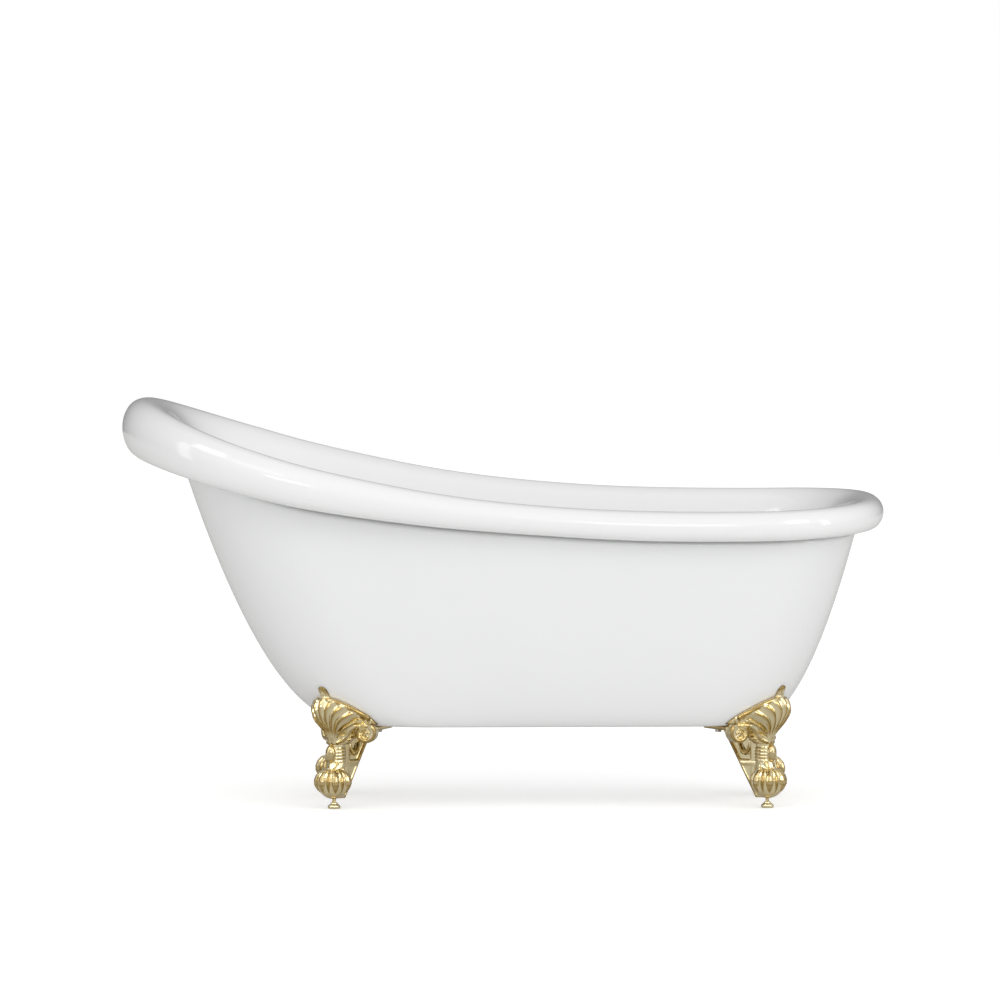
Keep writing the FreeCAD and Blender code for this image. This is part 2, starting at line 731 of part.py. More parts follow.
def foot_block(place):
    """Block that carries the load from the board to a foot, trimmed to the skirt."""
    corner = Vector(-BOLT_BACK - BLOCK_LENGTH / 2, -BLOCK_WIDTH / 2, BOTTOM_HEIGHT)
    block = Part.makeBox(BLOCK_LENGTH, BLOCK_WIDTH, BLOCK_TOP - BOTTOM_HEIGHT, corner)
    for spot in bolt_spots():
        block = block.cut(cylinder(BOLT_HOLE_RADIUS, BLOCK_TOP, spot))
        plate = spot + UP * (BLOCK_TOP - TEE_NUT_PLATE)
        block = block.cut(cylinder(TEE_NUT_RADIUS, TEE_NUT_PLATE, plate))
        barrel = spot + UP * (BLOCK_TOP - TEE_NUT_LENGTH)
        block = block.cut(cylinder(TEE_NUT_BARREL_RADIUS, TEE_NUT_LENGTH, barrel))
    return block.transformed(place.toMatrix()).common(skirt_envelope(-SKIRT_WALL))


# ---------------------------------------------------------------- fixings

def foot_bolt():
    """Hexagon-headed bolt, from under the flange up into the tee nut."""
    head_top = WASHER_BOTTOM
    points = []
    for i in range(6):
        angle = math.pi / 3 * i
        points.append(Vector(math.cos(angle), math.sin(angle), 0) * BOLT_HEAD_RADIUS)
    head = prism(points, UP * BOLT_HEAD_HEIGHT).translated(UP * (head_top - BOLT_HEAD_HEIGHT))
    length = BLOCK_TOP - BOLT_END_GAP - head_top
    shank = cylinder(BOLT_DIAMETER / 2, length, UP * head_top)
    return head.fuse(shank)


def washer():
    return tube(WASHER_RADIUS, BOLT_HOLE_RADIUS, WASHER_THICKNESS, UP * WASHER_BOTTOM)


def tee_nut():
    bore = BOLT_DIAMETER / 2 + THREAD_CLEARANCE
    plate = tube(TEE_NUT_RADIUS, bore, TEE_NUT_PLATE, UP * (BLOCK_TOP - TEE_NUT_PLATE))
    barrel = tube(TEE_NUT_BARREL_RADIUS, bore, TEE_NUT_LENGTH, UP * (BLOCK_TOP - TEE_NUT_LENGTH))
    return plate.fuse(barrel)


def fixing_group(shape):
    """Copies of one fixing at every bolt position of every foot, as separate solids."""
    copies = []
    for spot in bolt_spots():
        copies += all_corners(shape.translated(spot))
    return Part.makeCompound(copies)


# ---------------------------------------------------------------- levelling screws

def leveller_pad():
    """Round pad with a conical top and a socket for the screw's end."""
    profile = [
        (0, 0),
        (PAD_RADIUS, 0),
        (PAD_RADIUS, PAD_RIM),
        (PAD_NECK_RADIUS, PAD_HEIGHT),
        (0, PAD_HEIGHT),
    ]
    socket = cylinder(LEVELLER_DIAMETER / 2 + THREAD_CLEARANCE, PAD_HEIGHT, UP * PAD_FLOOR)
    return revolved(profile).cut(socket)


def leveller_screw():
    return cylinder(LEVELLER_DIAMETER / 2, LEVELLER_LENGTH, UP * (PAD_FLOOR + STEM_END_GAP))


# ---------------------------------------------------------------- waste

def at_drain(shape):
    return shape.translated(Vector(DRAIN_X, 0, 0))


def drain_flange():
    """Strainer: a flange on the floor, a threaded tail and a bridge that guides the stopper."""
    floor = FLOOR_HEIGHT
    profile = [
        (DRAIN_BORE, floor - DRAIN_TAIL),
        (DRAIN_RADIUS, floor - DRAIN_TAIL),
        (DRAIN_RADIUS, floor),
        (DRAIN_FLANGE_RADIUS, floor),
        (DRAIN_FLANGE_RADIUS - DRAIN_CHAMFER, floor + DRAIN_FLANGE_HEIGHT),
        (DRAIN_RADIUS, floor + DRAIN_FLANGE_HEIGHT),
        (DRAIN_BORE, floor),
    ]
    body = revolved(profile)
    low = floor - BRIDGE_DROP
    reach = DRAIN_BORE + BRIDGE_ROOT
    half = BRIDGE_WIDTH / 2
    arms = [
        Part.makeBox(2 * reach, BRIDGE_WIDTH, BRIDGE_THICKNESS, Vector(-reach, -half, low)),
        Part.makeBox(BRIDGE_WIDTH, 2 * reach, BRIDGE_THICKNESS, Vector(-half, -reach, low)),
        cylinder(BRIDGE_HUB, BRIDGE_THICKNESS, UP * low),
    ]
    guide_radius = STOPPER_STEM_RADIUS + STOPPER_STEM_CLEARANCE
    guide = cylinder(guide_radius, 3 * BRIDGE_THICKNESS, UP * (low - BRIDGE_THICKNESS))
    return at_drain(body.multiFuse(arms).cut(guide))


def drain_gasket():
    inner = DRAIN_RADIUS + DRAIN_HOLE_CLEARANCE
    return at_drain(tube(GASKET_RADIUS, inner, GASKET_THICKNESS, UP * SHOE_TOP))


def drain_shoe():
    """Waste body under the floor: socket for a pipe below, side port for the overflow."""
    tail_end = FLOOR_HEIGHT - DRAIN_TAIL
    body = cylinder(SHOE_RADIUS, SHOE_TOP - SHOE_BOTTOM, UP * SHOE_BOTTOM)
    body = body.fuse(cylinder(GASKET_RADIUS, SHOE_FLANGE, UP * (SHOE_TOP - SHOE_FLANGE)))
    level = UP * PORT_HEIGHT
    body = body.fuse(cylinder(PORT_RADIUS, SHOE_RADIUS + PORT_LENGTH, level, Vector(1, 0, 0)))
    body = body.cut(cylinder(DRAIN_RADIUS + THREAD_CLEARANCE, SHOE_TOP, UP * tail_end))
    body = body.cut(cylinder(DRAIN_BORE, tail_end, UP * (SHOE_BOTTOM + SHOE_LEDGE)))
    body = body.cut(cylinder(OUTLET_BORE, OUTLET_LENGTH, UP * SHOE_BOTTOM))
    body = body.cut(cylinder(PIPE_BORE, 2 * SHOE_RADIUS, level, Vector(1, 0, 0)))
    socket = level + Vector(SHOE_RADIUS + PIPE_INSET, 0, 0)
    body = body.cut(cylinder(PIPE_RADIUS + PIPE_CLEARANCE, PORT_LENGTH, socket, Vector(1, 0, 0)))
    return at_drain(body)


def stopper_cap():
    profile = [
        (0, STOPPER_BOTTOM),
        (STOPPER_RADIUS - STOPPER_EDGE, STOPPER_BOTTOM),
        (STOPPER_RADIUS, STOPPER_BOTTOM + STOPPER_EDGE),
        (STOPPER_RADIUS - STOPPER_CHAMFER, STOPPER_BOTTOM + STOPPER_THICKNESS),
        (0, STOPPER_BOTTOM + STOPPER_THICKNESS + STOPPER_CROWN),
    ]
    return at_drain(revolved(profile))


def stopper_stem():
    base = UP * (STOPPER_BOTTOM - STOPPER_STEM_LENGTH)
    return at_drain(cylinder(STOPPER_STEM_RADIUS, STOPPER_STEM_LENGTH, base))


def stopper_seal():
    ring = tube(SEAL_RADIUS, STOPPER_STEM_RADIUS, SEAL_THICKNESS, UP * (STOPPER_BOTTOM - SEAL_THICKNESS))
    return at_drain(ring)


# ---------------------------------------------------------------- overflow

def overflow_place():
    """Centre of the overflow on the low end's wall, the way into the basin, the way down."""
    column = [ring[0] for ring in BASIN_RINGS[:WALL_STRIPS + 1]]
    steps = [pair for pair in zip(column, column[1:]) if pair[1].z >= OVERFLOW_HEIGHT]
    low, high = steps[0]
    point = low + (high - low) * ((OVERFLOW_HEIGHT - low.z) / (high.z - low.z))
    down = (low - high).normalize()
    return point, Vector(0, 1, 0).cross(down), down


def on_wall(shape):
    """Moves a shape from its own frame onto the wall; its Z points into the basin."""
    point, inwards, _ = overflow_place()
    placed = shape.copy()
    placed.Placement = FreeCAD.Placement(point, FreeCAD.Rotation(UP, inwards)).multiply(placed.Placement)
    return placed


def overflow_cover():
    """Domed cover plate, hollow behind, with a slot at its lower edge for the water."""
    rise = OVERFLOW_COVER_RISE
    radius = OVERFLOW_COVER_RADIUS
    wall = OVERFLOW_COVER_WALL
    outside = revolved([(0, 0), (radius, 0), (radius, rise / 2), (radius - rise, rise), (0, rise)])
    inside = revolved([
        (0, -wall),
        (radius - wall, -wall),
        (radius - wall, rise / 2 - wall / 2),
        (radius - rise, rise - wall),
        (0, rise - wall),
    ])
    slot = Part.makeBox(radius, 2 * OVERFLOW_SLOT, OVERFLOW_SLOT)
    slot.translate(Vector(-1.5 * radius, -OVERFLOW_SLOT, -OVERFLOW_SLOT + rise / 2))
    cover = outside.cut(inside).cut(slot)
    for screw in screw_spots():
        cover = cover.cut(cylinder(OVERFLOW_SCREW_RADIUS + SCREW_CLEARANCE, 2 * rise, screw))
    return on_wall(cover.translated(UP * SEAT_FRONT))


def screw_spots():
    return [Vector(0, side * OVERFLOW_SCREW_SPREAD, 0) for side in SIDES.values()]


def overflow_screws():
    """Two screws that draw the cover and the head together through the wall."""
    screws = []
    top = SEAT_FRONT + OVERFLOW_COVER_RISE
    length = top + HEAD_FRONT + OVERFLOW_HEAD_DEPTH / 2
    for spot in screw_spots():
        head = cylinder(2 * OVERFLOW_SCREW_RADIUS, SCREW_HEAD_HEIGHT, spot + UP * top)
        shank = cylinder(OVERFLOW_SCREW_RADIUS, length, spot + UP * (top - length))
        screws.append(on_wall(head.fuse(shank)))
    return Part.makeCompound(screws)


def overflow_gasket():
    ring = tube(OVERFLOW_GASKET_RADIUS, OVERFLOW_HOLE_RADIUS, OVERFLOW_GASKET_THICKNESS, UP * -HEAD_FRONT)
    return on_wall(ring)


def overflow_head():
    """Cup behind the wall with two screw posts and a port for the overflow pipe."""
    back = -HEAD_FRONT - OVERFLOW_HEAD_DEPTH
    cup_body = cylinder(OVERFLOW_HEAD_RADIUS, OVERFLOW_HEAD_DEPTH, UP * back)
    lip = cylinder(OVERFLOW_GASKET_RADIUS, OVERFLOW_HEAD_WALL, UP * (-HEAD_FRONT - OVERFLOW_HEAD_WALL))
    hollow = cylinder(
        OVERFLOW_HEAD_RADIUS - OVERFLOW_HEAD_WALL,
        OVERFLOW_HEAD_DEPTH,
        UP * (back + OVERFLOW_HEAD_WALL),
    )
    port_base = UP * PORT_DEPTH
    way = Vector(-1, 0, 0)
    port = cylinder(PORT_RADIUS, OVERFLOW_HEAD_RADIUS + PORT_LENGTH, port_base, way)
    body = cup_body.multiFuse([lip, port]).cut(hollow)
    post_radius = OVERFLOW_SCREW_RADIUS + OVERFLOW_HEAD_WALL
    post_height = OVERFLOW_HEAD_DEPTH - POST_GAP
    posts = [cylinder(post_radius, post_height, spot + UP * back) for spot in screw_spots()]
    body = body.multiFuse(posts)
    body = body.cut(cylinder(PIPE_BORE, 2 * OVERFLOW_HEAD_RADIUS, port_base, way))
    socket = port_base + way * (OVERFLOW_HEAD_RADIUS + PIPE_INSET)
    body = body.cut(cylinder(PIPE_RADIUS + PIPE_CLEARANCE, PORT_LENGTH, socket, way))
    thread_radius = OVERFLOW_SCREW_RADIUS + THREAD_CLEARANCE
    thread_base = UP * (back + OVERFLOW_HEAD_WALL)
    for spot in screw_spots():
        body = body.cut(cylinder(thread_radius, OVERFLOW_HEAD_DEPTH, spot + thread_base))
    return on_wall(body)


def bent_path(points, radius):
    """Straight runs through the points, joined by tangent arcs."""
    edges = []
    start = points[0]
    for before, corner, after in zip(points, points[1:], points[2:]):
        back = (before - corner).normalize()
        ahead = (after - corner).normalize()
        half_angle = back.getAngle(ahead) / 2
        setback = radius / math.tan(half_angle)
        middle = (back + ahead).normalize()
        top = corner + middle * (radius / math.sin(half_angle) - radius)
        edges.append(Part.makeLine(start, corner + back * setback))
        edges.append(Part.Arc(corner + back * setback, top, corner + ahead * setback).toShape())
        start = corner + ahead * setback
    edges.append(Part.makeLine(start, points[-1]))
    return Part.Wire(edges)


def pipe_points():
    """Route of the overflow pipe between the skins, from the head to the shoe."""
    point, inwards, down = overflow_place()
    top = point + inwards * PORT_DEPTH + down * (OVERFLOW_HEAD_RADIUS + PIPE_INSET)
    knee = top + down * ((top.z - PIPE_KNEE_HEIGHT) / -down.z)
    elbow = Vector(DRAIN_X + PIPE_RUN, 0, PORT_HEIGHT)
    end = Vector(DRAIN_X + SHOE_RADIUS + PIPE_INSET, 0, PORT_HEIGHT)
    return [top, knee, elbow, end]


def overflow_pipe():
    points = pipe_points()
    path = bent_path(points, PIPE_BEND)
    way = points[1] - points[0]
    rings = [Part.Wire([Part.makeCircle(radius, points[0], way)]) for radius in (PIPE_RADIUS, PIPE_BORE)]
    outer, inner = [path.makePipeShell([ring], True, False) for ring in rings]
    return outer.cut(inner)


def pipe_nuts():
    """Slip nuts that close the pipe's two ports."""
    points = pipe_points()
    nuts = []
    for start, towards in ((points[0], points[1]), (points[-1], points[-2])):
        way = (towards - start).normalize()
        base = start + way * (PORT_LENGTH - PIPE_INSET)
        nuts.append(tube(PIPE_NUT_RADIUS, PIPE_RADIUS + PIPE_CLEARANCE, PIPE_NUT_LENGTH, base, way))
    return Part.makeCompound(nuts)


# ---------------------------------------------------------------- build

def main():
    os.makedirs("parts", exist_ok=True)
    export("basin_shell", basin_shell())
    export("skirt_shell", skirt_shell())
    export("base_board", base_board())

    envelope = skirt_envelope(FOOT_GAP)
    grown = skirt_envelope(FAN_PLATE)
    for end, place in FOOT_PLACES.items():
        pieces = {
            "foot": foot(place, envelope, grown),
            "foot_block": foot_block(place),
            "leveller_pad": leveller_pad().transformed(place.toMatrix()),
            "leveller_screw": leveller_screw().transformed(place.toMatrix()),
        }
        for name, shape in pieces.items():
            for side, copy in both_sides(shape).items():
                export(name + "_" + end + "_" + side, copy)
    export("foot_bolts", fixing_group(foot_bolt()))
    export("foot_washers", fixing_group(washer()))
    export("tee_nuts", fixing_group(tee_nut()))

    export("drain_flange", drain_flange())
    export("drain_gasket", drain_gasket())
    export("drain_shoe", drain_shoe())
    export("stopper_cap", stopper_cap())
    export("stopper_stem", stopper_stem())
    export("stopper_seal", stopper_seal())

    export("overflow_cover", overflow_cover())
    export("overflow_screws", overflow_screws())
    export("overflow_gasket", overflow_gasket())
    export("overflow_head", overflow_head())
    export("overflow_pipe", overflow_pipe())
    export("pipe_nuts", pipe_nuts())


if __name__ == "__main__":
    main()
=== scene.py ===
import json
import math

import bmesh
import bpy
import numpy as np
from bpy.props import FloatProperty, FloatVectorProperty, IntProperty, PointerProperty
from bpy.types import Operator, Panel, PropertyGroup
from mathutils import Matrix, Vector


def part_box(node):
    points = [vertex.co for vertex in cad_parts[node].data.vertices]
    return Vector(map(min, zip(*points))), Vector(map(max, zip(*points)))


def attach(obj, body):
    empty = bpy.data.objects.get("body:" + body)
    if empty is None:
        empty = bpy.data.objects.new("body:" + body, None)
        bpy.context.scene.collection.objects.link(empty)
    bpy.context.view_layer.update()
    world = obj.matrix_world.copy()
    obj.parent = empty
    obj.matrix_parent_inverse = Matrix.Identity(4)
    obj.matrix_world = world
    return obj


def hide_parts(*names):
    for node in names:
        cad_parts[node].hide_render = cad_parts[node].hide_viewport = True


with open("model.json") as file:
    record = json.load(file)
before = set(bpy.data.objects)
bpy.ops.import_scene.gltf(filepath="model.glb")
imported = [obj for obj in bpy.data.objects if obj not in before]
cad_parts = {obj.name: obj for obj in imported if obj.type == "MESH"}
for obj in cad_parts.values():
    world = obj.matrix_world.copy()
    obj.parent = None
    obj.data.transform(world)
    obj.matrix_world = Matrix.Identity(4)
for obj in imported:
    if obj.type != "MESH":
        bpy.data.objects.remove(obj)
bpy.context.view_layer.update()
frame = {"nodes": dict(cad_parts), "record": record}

bl_info = {
    "name": "Clawfoot Slipper Bathtub",
    "version": (1, 0, 0),
    "blender": (4, 5, 0),
    "location": "View3D > Sidebar > Bathtub",
    "description": "Builds the visible pieces of a clawfoot slipper bathtub around its packed solids",
    "category": "Add Mesh",
}

MM = 0.001

# The rim's crest line and the rolled edge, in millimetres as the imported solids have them.
# A pair is a size of the rolled edge and what the head end adds to it.
HEAD_CREST_X = -704.0
LOW_CREST_X = 715.0
CREST_HALF_WIDTH = 322.04
HEAD_CAP = 350.0
LOW_CAP = 240.0
LOW_RIM_HEIGHT = 596.0
HEAD_RIM_RISE = 199.0
LOW_END_RISE = 8.0
RISE_START = 440.0
RISE_POWER = 2.4
PLAN_TAPER = 0.08
HEAD_SQUARENESS = 2.3
LOW_SQUARENESS = 2.6
FLARE_POWER = 1.1
ROLL_HEIGHT = (60.0, 50.0)
ROLL_REACH = (35.0, 11.0)
LIP_RETURN = (18.0, 50.0)
ROLL_FULLNESS = 0.8
SKIN_GAP = 41.0
LOW_END_EXTRA_GAP = 18.0
WALL_POWER = 1.9

# Bottom of the skirt and floor of the basin: head x, low x, half width, head cap, low cap.
SKIRT_BOTTOM = (-315.0, 505.0, 190.0, 200.0, 150.0)
SKIRT_BOTTOM_HEIGHT = 163.0
SKIRT_WALL = 5.0
SKIRT_STRIPS = 9
LIP_GAP = 0.5
BASIN_FLOOR = (-300.0, 440.0, 150.0, 180.0, 120.0)
BASIN_FLOOR_HEIGHT = 215.0
BASIN_WALL = 6.0
WALL_STRIPS = 7
# Outline points on the low cap, on a straight side and on the head cap.
CAP_POINTS = (5, 4, 6)

# Rows of faces between the rings of each wall and over each floor, and the rings of the rolled edge.
SKIRT_ROWS = [3, 3] + [7] * (SKIRT_STRIPS - 1)
SKIRT_FLOOR_ROWS = 6
BASIN_ROWS = [3, 3] + [6] * (WALL_STRIPS - 1) + [5, 4, 4] + [3] * 8
BASIN_FLOOR_ROWS = 8
INNER_ROLL = ((0.72, 0.5), (0.36, 0.14))
ROLL_DEGREES = (0, 14, 32, 62, 90, 122, 150)

# Waste and overflow.
DRAIN_X = 330.0
DRAIN_HOLE = 20.0
SKIRT_DRAIN_HOLE = 45.0
OVERFLOW_HEIGHT = 495.0
OVERFLOW_HOLE = 22.0
OVERFLOW_SEAT = 37.0
SEAT_FRONT = 3.0
SEAT_BACK = 8.0
SEAT_BEVEL = 1.0
BOLT_HOLE = 4.5

# Feet: the ball's axis is the origin of each foot's own frame and X points outwards.
FOOT_TURNS = {"head": -44.0, "low": 56.0}
FOOT_LOW = (-132, -100, 12)
FOOT_HIGH = (64, 100, 256)
FOOT_GAP = 0.4
SIDES = {"far": 1, "near": -1}
CORNERS = [(end, side) for end in FOOT_TURNS for side in SIDES]

# Plate under the tub, its bolts and the bore of the levelling screw.
PLATE = 9.0
PLATE_BACK = -126.0
PLATE_FRONT = 10.0
PLATE_HALF_WIDTH = 72.0
PLATE_SHOULDER = -48.0
PLATE_TAPER = 0.42
PLATE_BELOW_FAN = 6.0
BOLT_BACK = 98.0
BOLT_SPREAD = 27.0
BOLT_HEIGHTS = (140, 176)
SCREW_BORE = 4.15
SCREW_BORE_TOP = 80.0

# Fan: its top edge falls and its face curls back from the middle to the sides.
FAN_ROOT = 124.0
FAN_BOTTOM = 127.0
FAN_BOTTOM_RISE = 0.72
FAN_TOP = 223.0
FAN_FALL = 0.0066
FAN_SIDE = 76.0
FAN_CORNER = 66.0
FAN_CORNER_FALL = 0.06
FAN_CROWN = 38.0
FAN_BOW = 58.0
FAN_BOW_SPAN = 80.0
FAN_CURL = 0.02
FAN_CURL_START = 58.0
FAN_BULGE = 18.0
FAN_BULGE_RAY = 0.88
FAN_BULGE_FADE = 0.34
FAN_HUB = 10.0
FAN_HUB_FRONT = 23.0
FAN_HUB_BACK = 8.0
FAN_THICKNESS = 15.0
FAN_BACK_HEIGHT = 154.0
FAN_STAND_OFF = 6.0
FAN_LAST_RAY = 1.45
FAN_STRAIGHT_RAY = 0.02
FAN_SHIFT = {"head": -7.0, "low": 6.0}
BORDER_INSET = 4.0
BORDER_BACK = 2.0
BORDER_DROP = 5.0
BORDER_RADIUS = 4.2

# Leaf over the fan, with a fold pressed into it.
LEAF_ROOT = 213.0
LEAF_SHOULDER = 233.0
LEAF_TIP_RISE = 11.0
LEAF_HALF_WIDTH = 10.8
LEAF_THICKNESS = 7.0
LEAF_LEAN = 0.08
FOLD_HEIGHT = 224.0
FOLD_RADIUS = 4.0
FOLD_WIDTH = 1.3
FOLD_DEPTH = 2.4
FOLD_STRETCH = 2.2
FOLD_SIDE = 2.5

# Scrolls at the fan's ends; pairs say what a strand has at its start and at its end.
SCROLL_BACK = -33.0
SCROLL_ASIDE = 50.0
SCROLL_HEIGHT = 151.0
SCROLL_TURN = 28.0
SCROLL_NOTCH = 17.0
SCROLL_RADIUS = 20.0
SCROLL_FRONT = 7.5
SCROLL_REAR = -16.0
ROSETTE_RADIUS = 10.5
ROSETTE_RISE = 6.5
ROSETTE_HEART = 3.5
ROSETTE_HEART_RISE = 1.5
SPIRAL_START = 60.0
SPIRAL_TURN = 470.0
SPIRAL_RADIUS = (18.0, 11.5)
SPIRAL_FRONT = (9.0, 10.5)
SPIRAL_STRAND = (5.2, 2.6)
SPIRAL_POINTS = 60
# Band from the collar round the inner side of a scroll: outwards, aside, height; its radii.
SCROLL_BAND = (
    (8, 9, 130), (0, 18, 136), (-4, 26, 146), (-4, 33, 157), (-9, 41, 166), (-18, 50, 172), (-29, 60, 171),
)
SCROLL_BAND_RADII = (3.4, 4.0, 4.6, 5.0, 5.2, 5.0, 4.6)

# Ankle: a ringed barrel with a spur in front, a strip behind and a collar on top.
ANKLE_AXIS = -9.0
ANKLE_HEIGHTS = (76.0, 132.0)
ANKLE_RADIUS = 13.0
ANKLE_BULGE = 3.4
ANKLE_BULGE_START = 80.0
ANKLE_BULGE_SPAN = 52.0
RING_HEIGHT = 93.0
RING_PITCH = 6.3
STRIP_HALF_WIDTH = 9.5
STRIP_DEPTHS = (-34.0, -18.0)
STRIP_HEIGHTS = (60.0, 150.0)
COLLAR_AXIS = -7.0
COLLAR_WAVES = 7
COLLAR_WAVE = 1.5
DISC_RADIUS = 16.5
DISC_HEIGHT = 129.5
DISC_FLATNESS = 0.75
DISC_EDGE = 4.4
KNOT_RADIUS = 17.0
KNOT_HEIGHT = 137.5
KNOT_STRAND = 5.2
SPUR_PLACE = (9.5, 108.0)
SPUR_RADIUS = 15.5
SPUR_SHAPE = (0.64, 0.72, 1.15)

# Ball and toes. Toes: angle around the ball and strength; along each toe: elevation, centre line
# beyond the ball's surface, radius; along a groove: elevation and depth beyond the surface.
BALL_AXIS = 2.0
BALL_RADIUS = 32.0
BALL_HEIGHT = 50.0
SHIN_HEIGHTS = (54.0, 92.0)
SHIN_TAPER_START = 56.0
SHIN_TAPER_SPAN = 34.0
SHIN_RADII = (29.0, 14.0)
PAW_RAYS = (
    (0, 1.0), (52, 1.0), (-52, 1.0), (104, 1.0), (-104, 1.0),
    (26, 0.55), (-26, 0.55), (78, 0.55), (-78, 0.55), (145, 0.7), (-145, 0.7),
)
PAW_TOE = (
    (66, -5.5, 5.2), (52, -4.4, 6.4), (38, -2.8, 7.4), (22, -1.6, 8.0), (8, -0.8, 7.8), (-2, -0.4, 7.0),
    (-11, -0.8, 5.6), (-20, -1.0, 4.4), (-31, -1.8, 2.8), (-41, -2.8, 1.2),
)
TENDON_RADIUS = 4.6
TENDON_RUN = (-8.0, 0.0, 12.0)
PAW_GROOVE = ((70, -0.5), (54, 2.2), (38, 4.8), (22, 6.3), (8, 6.7), (-6, 6.2))
PAW_GROOVE_RADII = (0.8, 1.5, 1.7, 1.6, 1.4, 0.8)
PAW_GROOVE_ASIDE = 8.5

# Inner web: a point of its slanted edge and that edge's run. Each sunk panel: border, front edge,
# height of the edge along the band, half the metal left between its two sides.
WEB_TOP = (-101.0, 155.0)
WEB_RUN = (79.0, 135.0)
WEB_FRONT = -4.0
WEB_HEIGHTS = (20.0, 160.0)
WEB_HALF_WIDTH = 10.5
UPPER_PANEL = (5.5, -34.0, 94.0, 5.0)
LOWER_PANEL = (4.5, -20.0, 82.0, 8.6)
WEB_BAND = ((-22, 87), (-54, 87))
WEB_BAND_RADII = (2.4, 2.0)
WEB_BAND_ASIDE = 9.2
# Curled ornament in the upper panel: outwards, height, rise beyond its resting place aside.
WEB_CURL = (
    (-36, 132, 0), (-37, 122, 1), (-40, 112, 2), (-45, 106, 3), (-52, 108, 3), (-57, 116, 2),
    (-61, 126, 1), (-68, 134, 0), (-78, 138, 0),
)
WEB_CURL_RADII = (2.4, 3.0, 3.8, 4.4, 4.2, 3.6, 3.0, 2.6, 1.8)
WEB_CURL_ASIDE = 6.5

# Levelling pads and screws: outlines of radius and height, and the screw's thread.
PAD_PROFILE = (
    (0, 0), (11.6, 0), (12.5, 1.4), (12.5, 4.6), (10.8, 7.4), (7.6, 8.8), (6.5, 12), (4.2, 12), (4.2, 3.1),
    (0, 3.1),
)
SCREW_PROFILE = ((0, 3.3), (2.9, 3.3), (3.45, 4.0), (3.45, 60.4), (2.9, 61.3), (0, 61.3))
THREAD_BOTTOM = 4.5
THREAD_LENGTH = 55.5
THREAD_RADIUS = 3.45
THREAD_RIDGE = 0.52

# Stopper cap over its base, and the overflow's domed cover over its seat.
CAP_BASE = 220.3
CAP_PROFILE = ((0, 0), (21.5, 0), (23, 1.6), (21, 3.4), (14, 4.5), (0, 4.95))
DOME_PROFILE = (
    (0, 4.5), (27, 4.5), (31.5, 2.3), (31.5, 0.05), (34, 0.05), (34, 3.4), (30, 5.6), (24, 6.6), (0, 7),
)


# ---------------------------------------------------------------- shape of the tub

def outline(head_x, low_x, half_width, head_cap, low_cap):
    """Closed plan outline with a rounded low end, nearly straight sides and a rounder head."""
    quarter = []
    for i in range(CAP_POINTS[0]):
        angle = math.pi / 2 * i / CAP_POINTS[0]
        along = math.cos(angle) ** (2 / LOW_SQUARENESS)
        aside = math.sin(angle) ** (2 / LOW_SQUARENESS)
        quarter.append((low_x - low_cap + low_cap * along, half_width * aside))
    straight = low_x - low_cap - head_x - head_cap
    for i in range(CAP_POINTS[1]):
        quarter.append((low_x - low_cap - straight * i / CAP_POINTS[1], half_width))
    for i in range(CAP_POINTS[2] + 1):
        angle = math.pi / 2 * i / CAP_POINTS[2]
        along = math.sin(angle) ** (2 / HEAD_SQUARENESS)
        aside = max(math.cos(angle), 0.0) ** (2 / HEAD_SQUARENESS)
        quarter.append((head_x + head_cap - head_cap * along, half_width * aside))
    middle = (head_x + low_x) / 2
    half_length = (low_x - head_x) / 2
    ring = [(x, y * (1 - PLAN_TAPER * (x - middle) / half_length)) for x, y in quarter]
    ring[-1] = (head_x, 0.0)
    return np.array(ring + [(x, -y) for x, y in ring[-2:0:-1]])


def at_height(points, height):
    """Plan points lifted to one height."""
    return np.column_stack([points, np.full(len(points), height)])


CREST = outline(HEAD_CREST_X, LOW_CREST_X, CREST_HALF_WIDTH, HEAD_CAP, LOW_CAP)
CREST_STEPS = np.roll(CREST, -1, axis=0) - np.roll(CREST, 1, axis=0)
CREST_NORMALS = np.column_stack([CREST_STEPS[:, 1], -CREST_STEPS[:, 0]])
CREST_NORMALS /= np.linalg.norm(CREST_NORMALS, axis=1, keepdims=True)
HEAD_SHARE = np.maximum(CREST[:, 0] / HEAD_CREST_X, 0.0) ** FLARE_POWER
LOW_SHARE = np.maximum((CREST[:, 0] - LOW_CREST_X + LOW_CAP) / LOW_CAP, 0.0)


def flared(pair):
    """A size of the rolled edge at every point of the crest: plain size, extra at the head."""
    return pair[0] + pair[1] * HEAD_SHARE


def crest_height():
    """Height of the rim at every point of the crest."""
    x = CREST[:, 0]
    rising = np.maximum((RISE_START - x) / (RISE_START - HEAD_CREST_X), 0.0)
    falling = np.maximum((x - RISE_START) / (LOW_CREST_X - RISE_START), 0.0)
    return LOW_RIM_HEIGHT + HEAD_RIM_RISE * rising ** RISE_POWER + LOW_END_RISE * falling ** 2


def rim_ring(offset, drop):
    """Ring that lies offset outside the crest line and drop below it."""
    plan = CREST + CREST_NORMALS * np.reshape(offset, (-1, 1))
    return np.column_stack([plan, crest_height() - drop])


def roll_ring(degrees):
    """Ring of the rolled edge, from the crest (0) over and under to the lip (180)."""
    angle = math.radians(degrees)
    reach = flared(ROLL_REACH) * math.sin(angle) ** ROLL_FULLNESS
    return rim_ring(reach, flared(ROLL_HEIGHT) * (1 - math.cos(angle)) / 2)


def inner_roll_ring(inward, down):
    """Ring inside the crest: shares of the way in to the basin's wall and down the roll."""
    back = flared(LIP_RETURN) + SKIN_GAP + LOW_END_EXTRA_GAP * LOW_SHARE
    return rim_ring(-inward * back, down * flared(ROLL_HEIGHT))


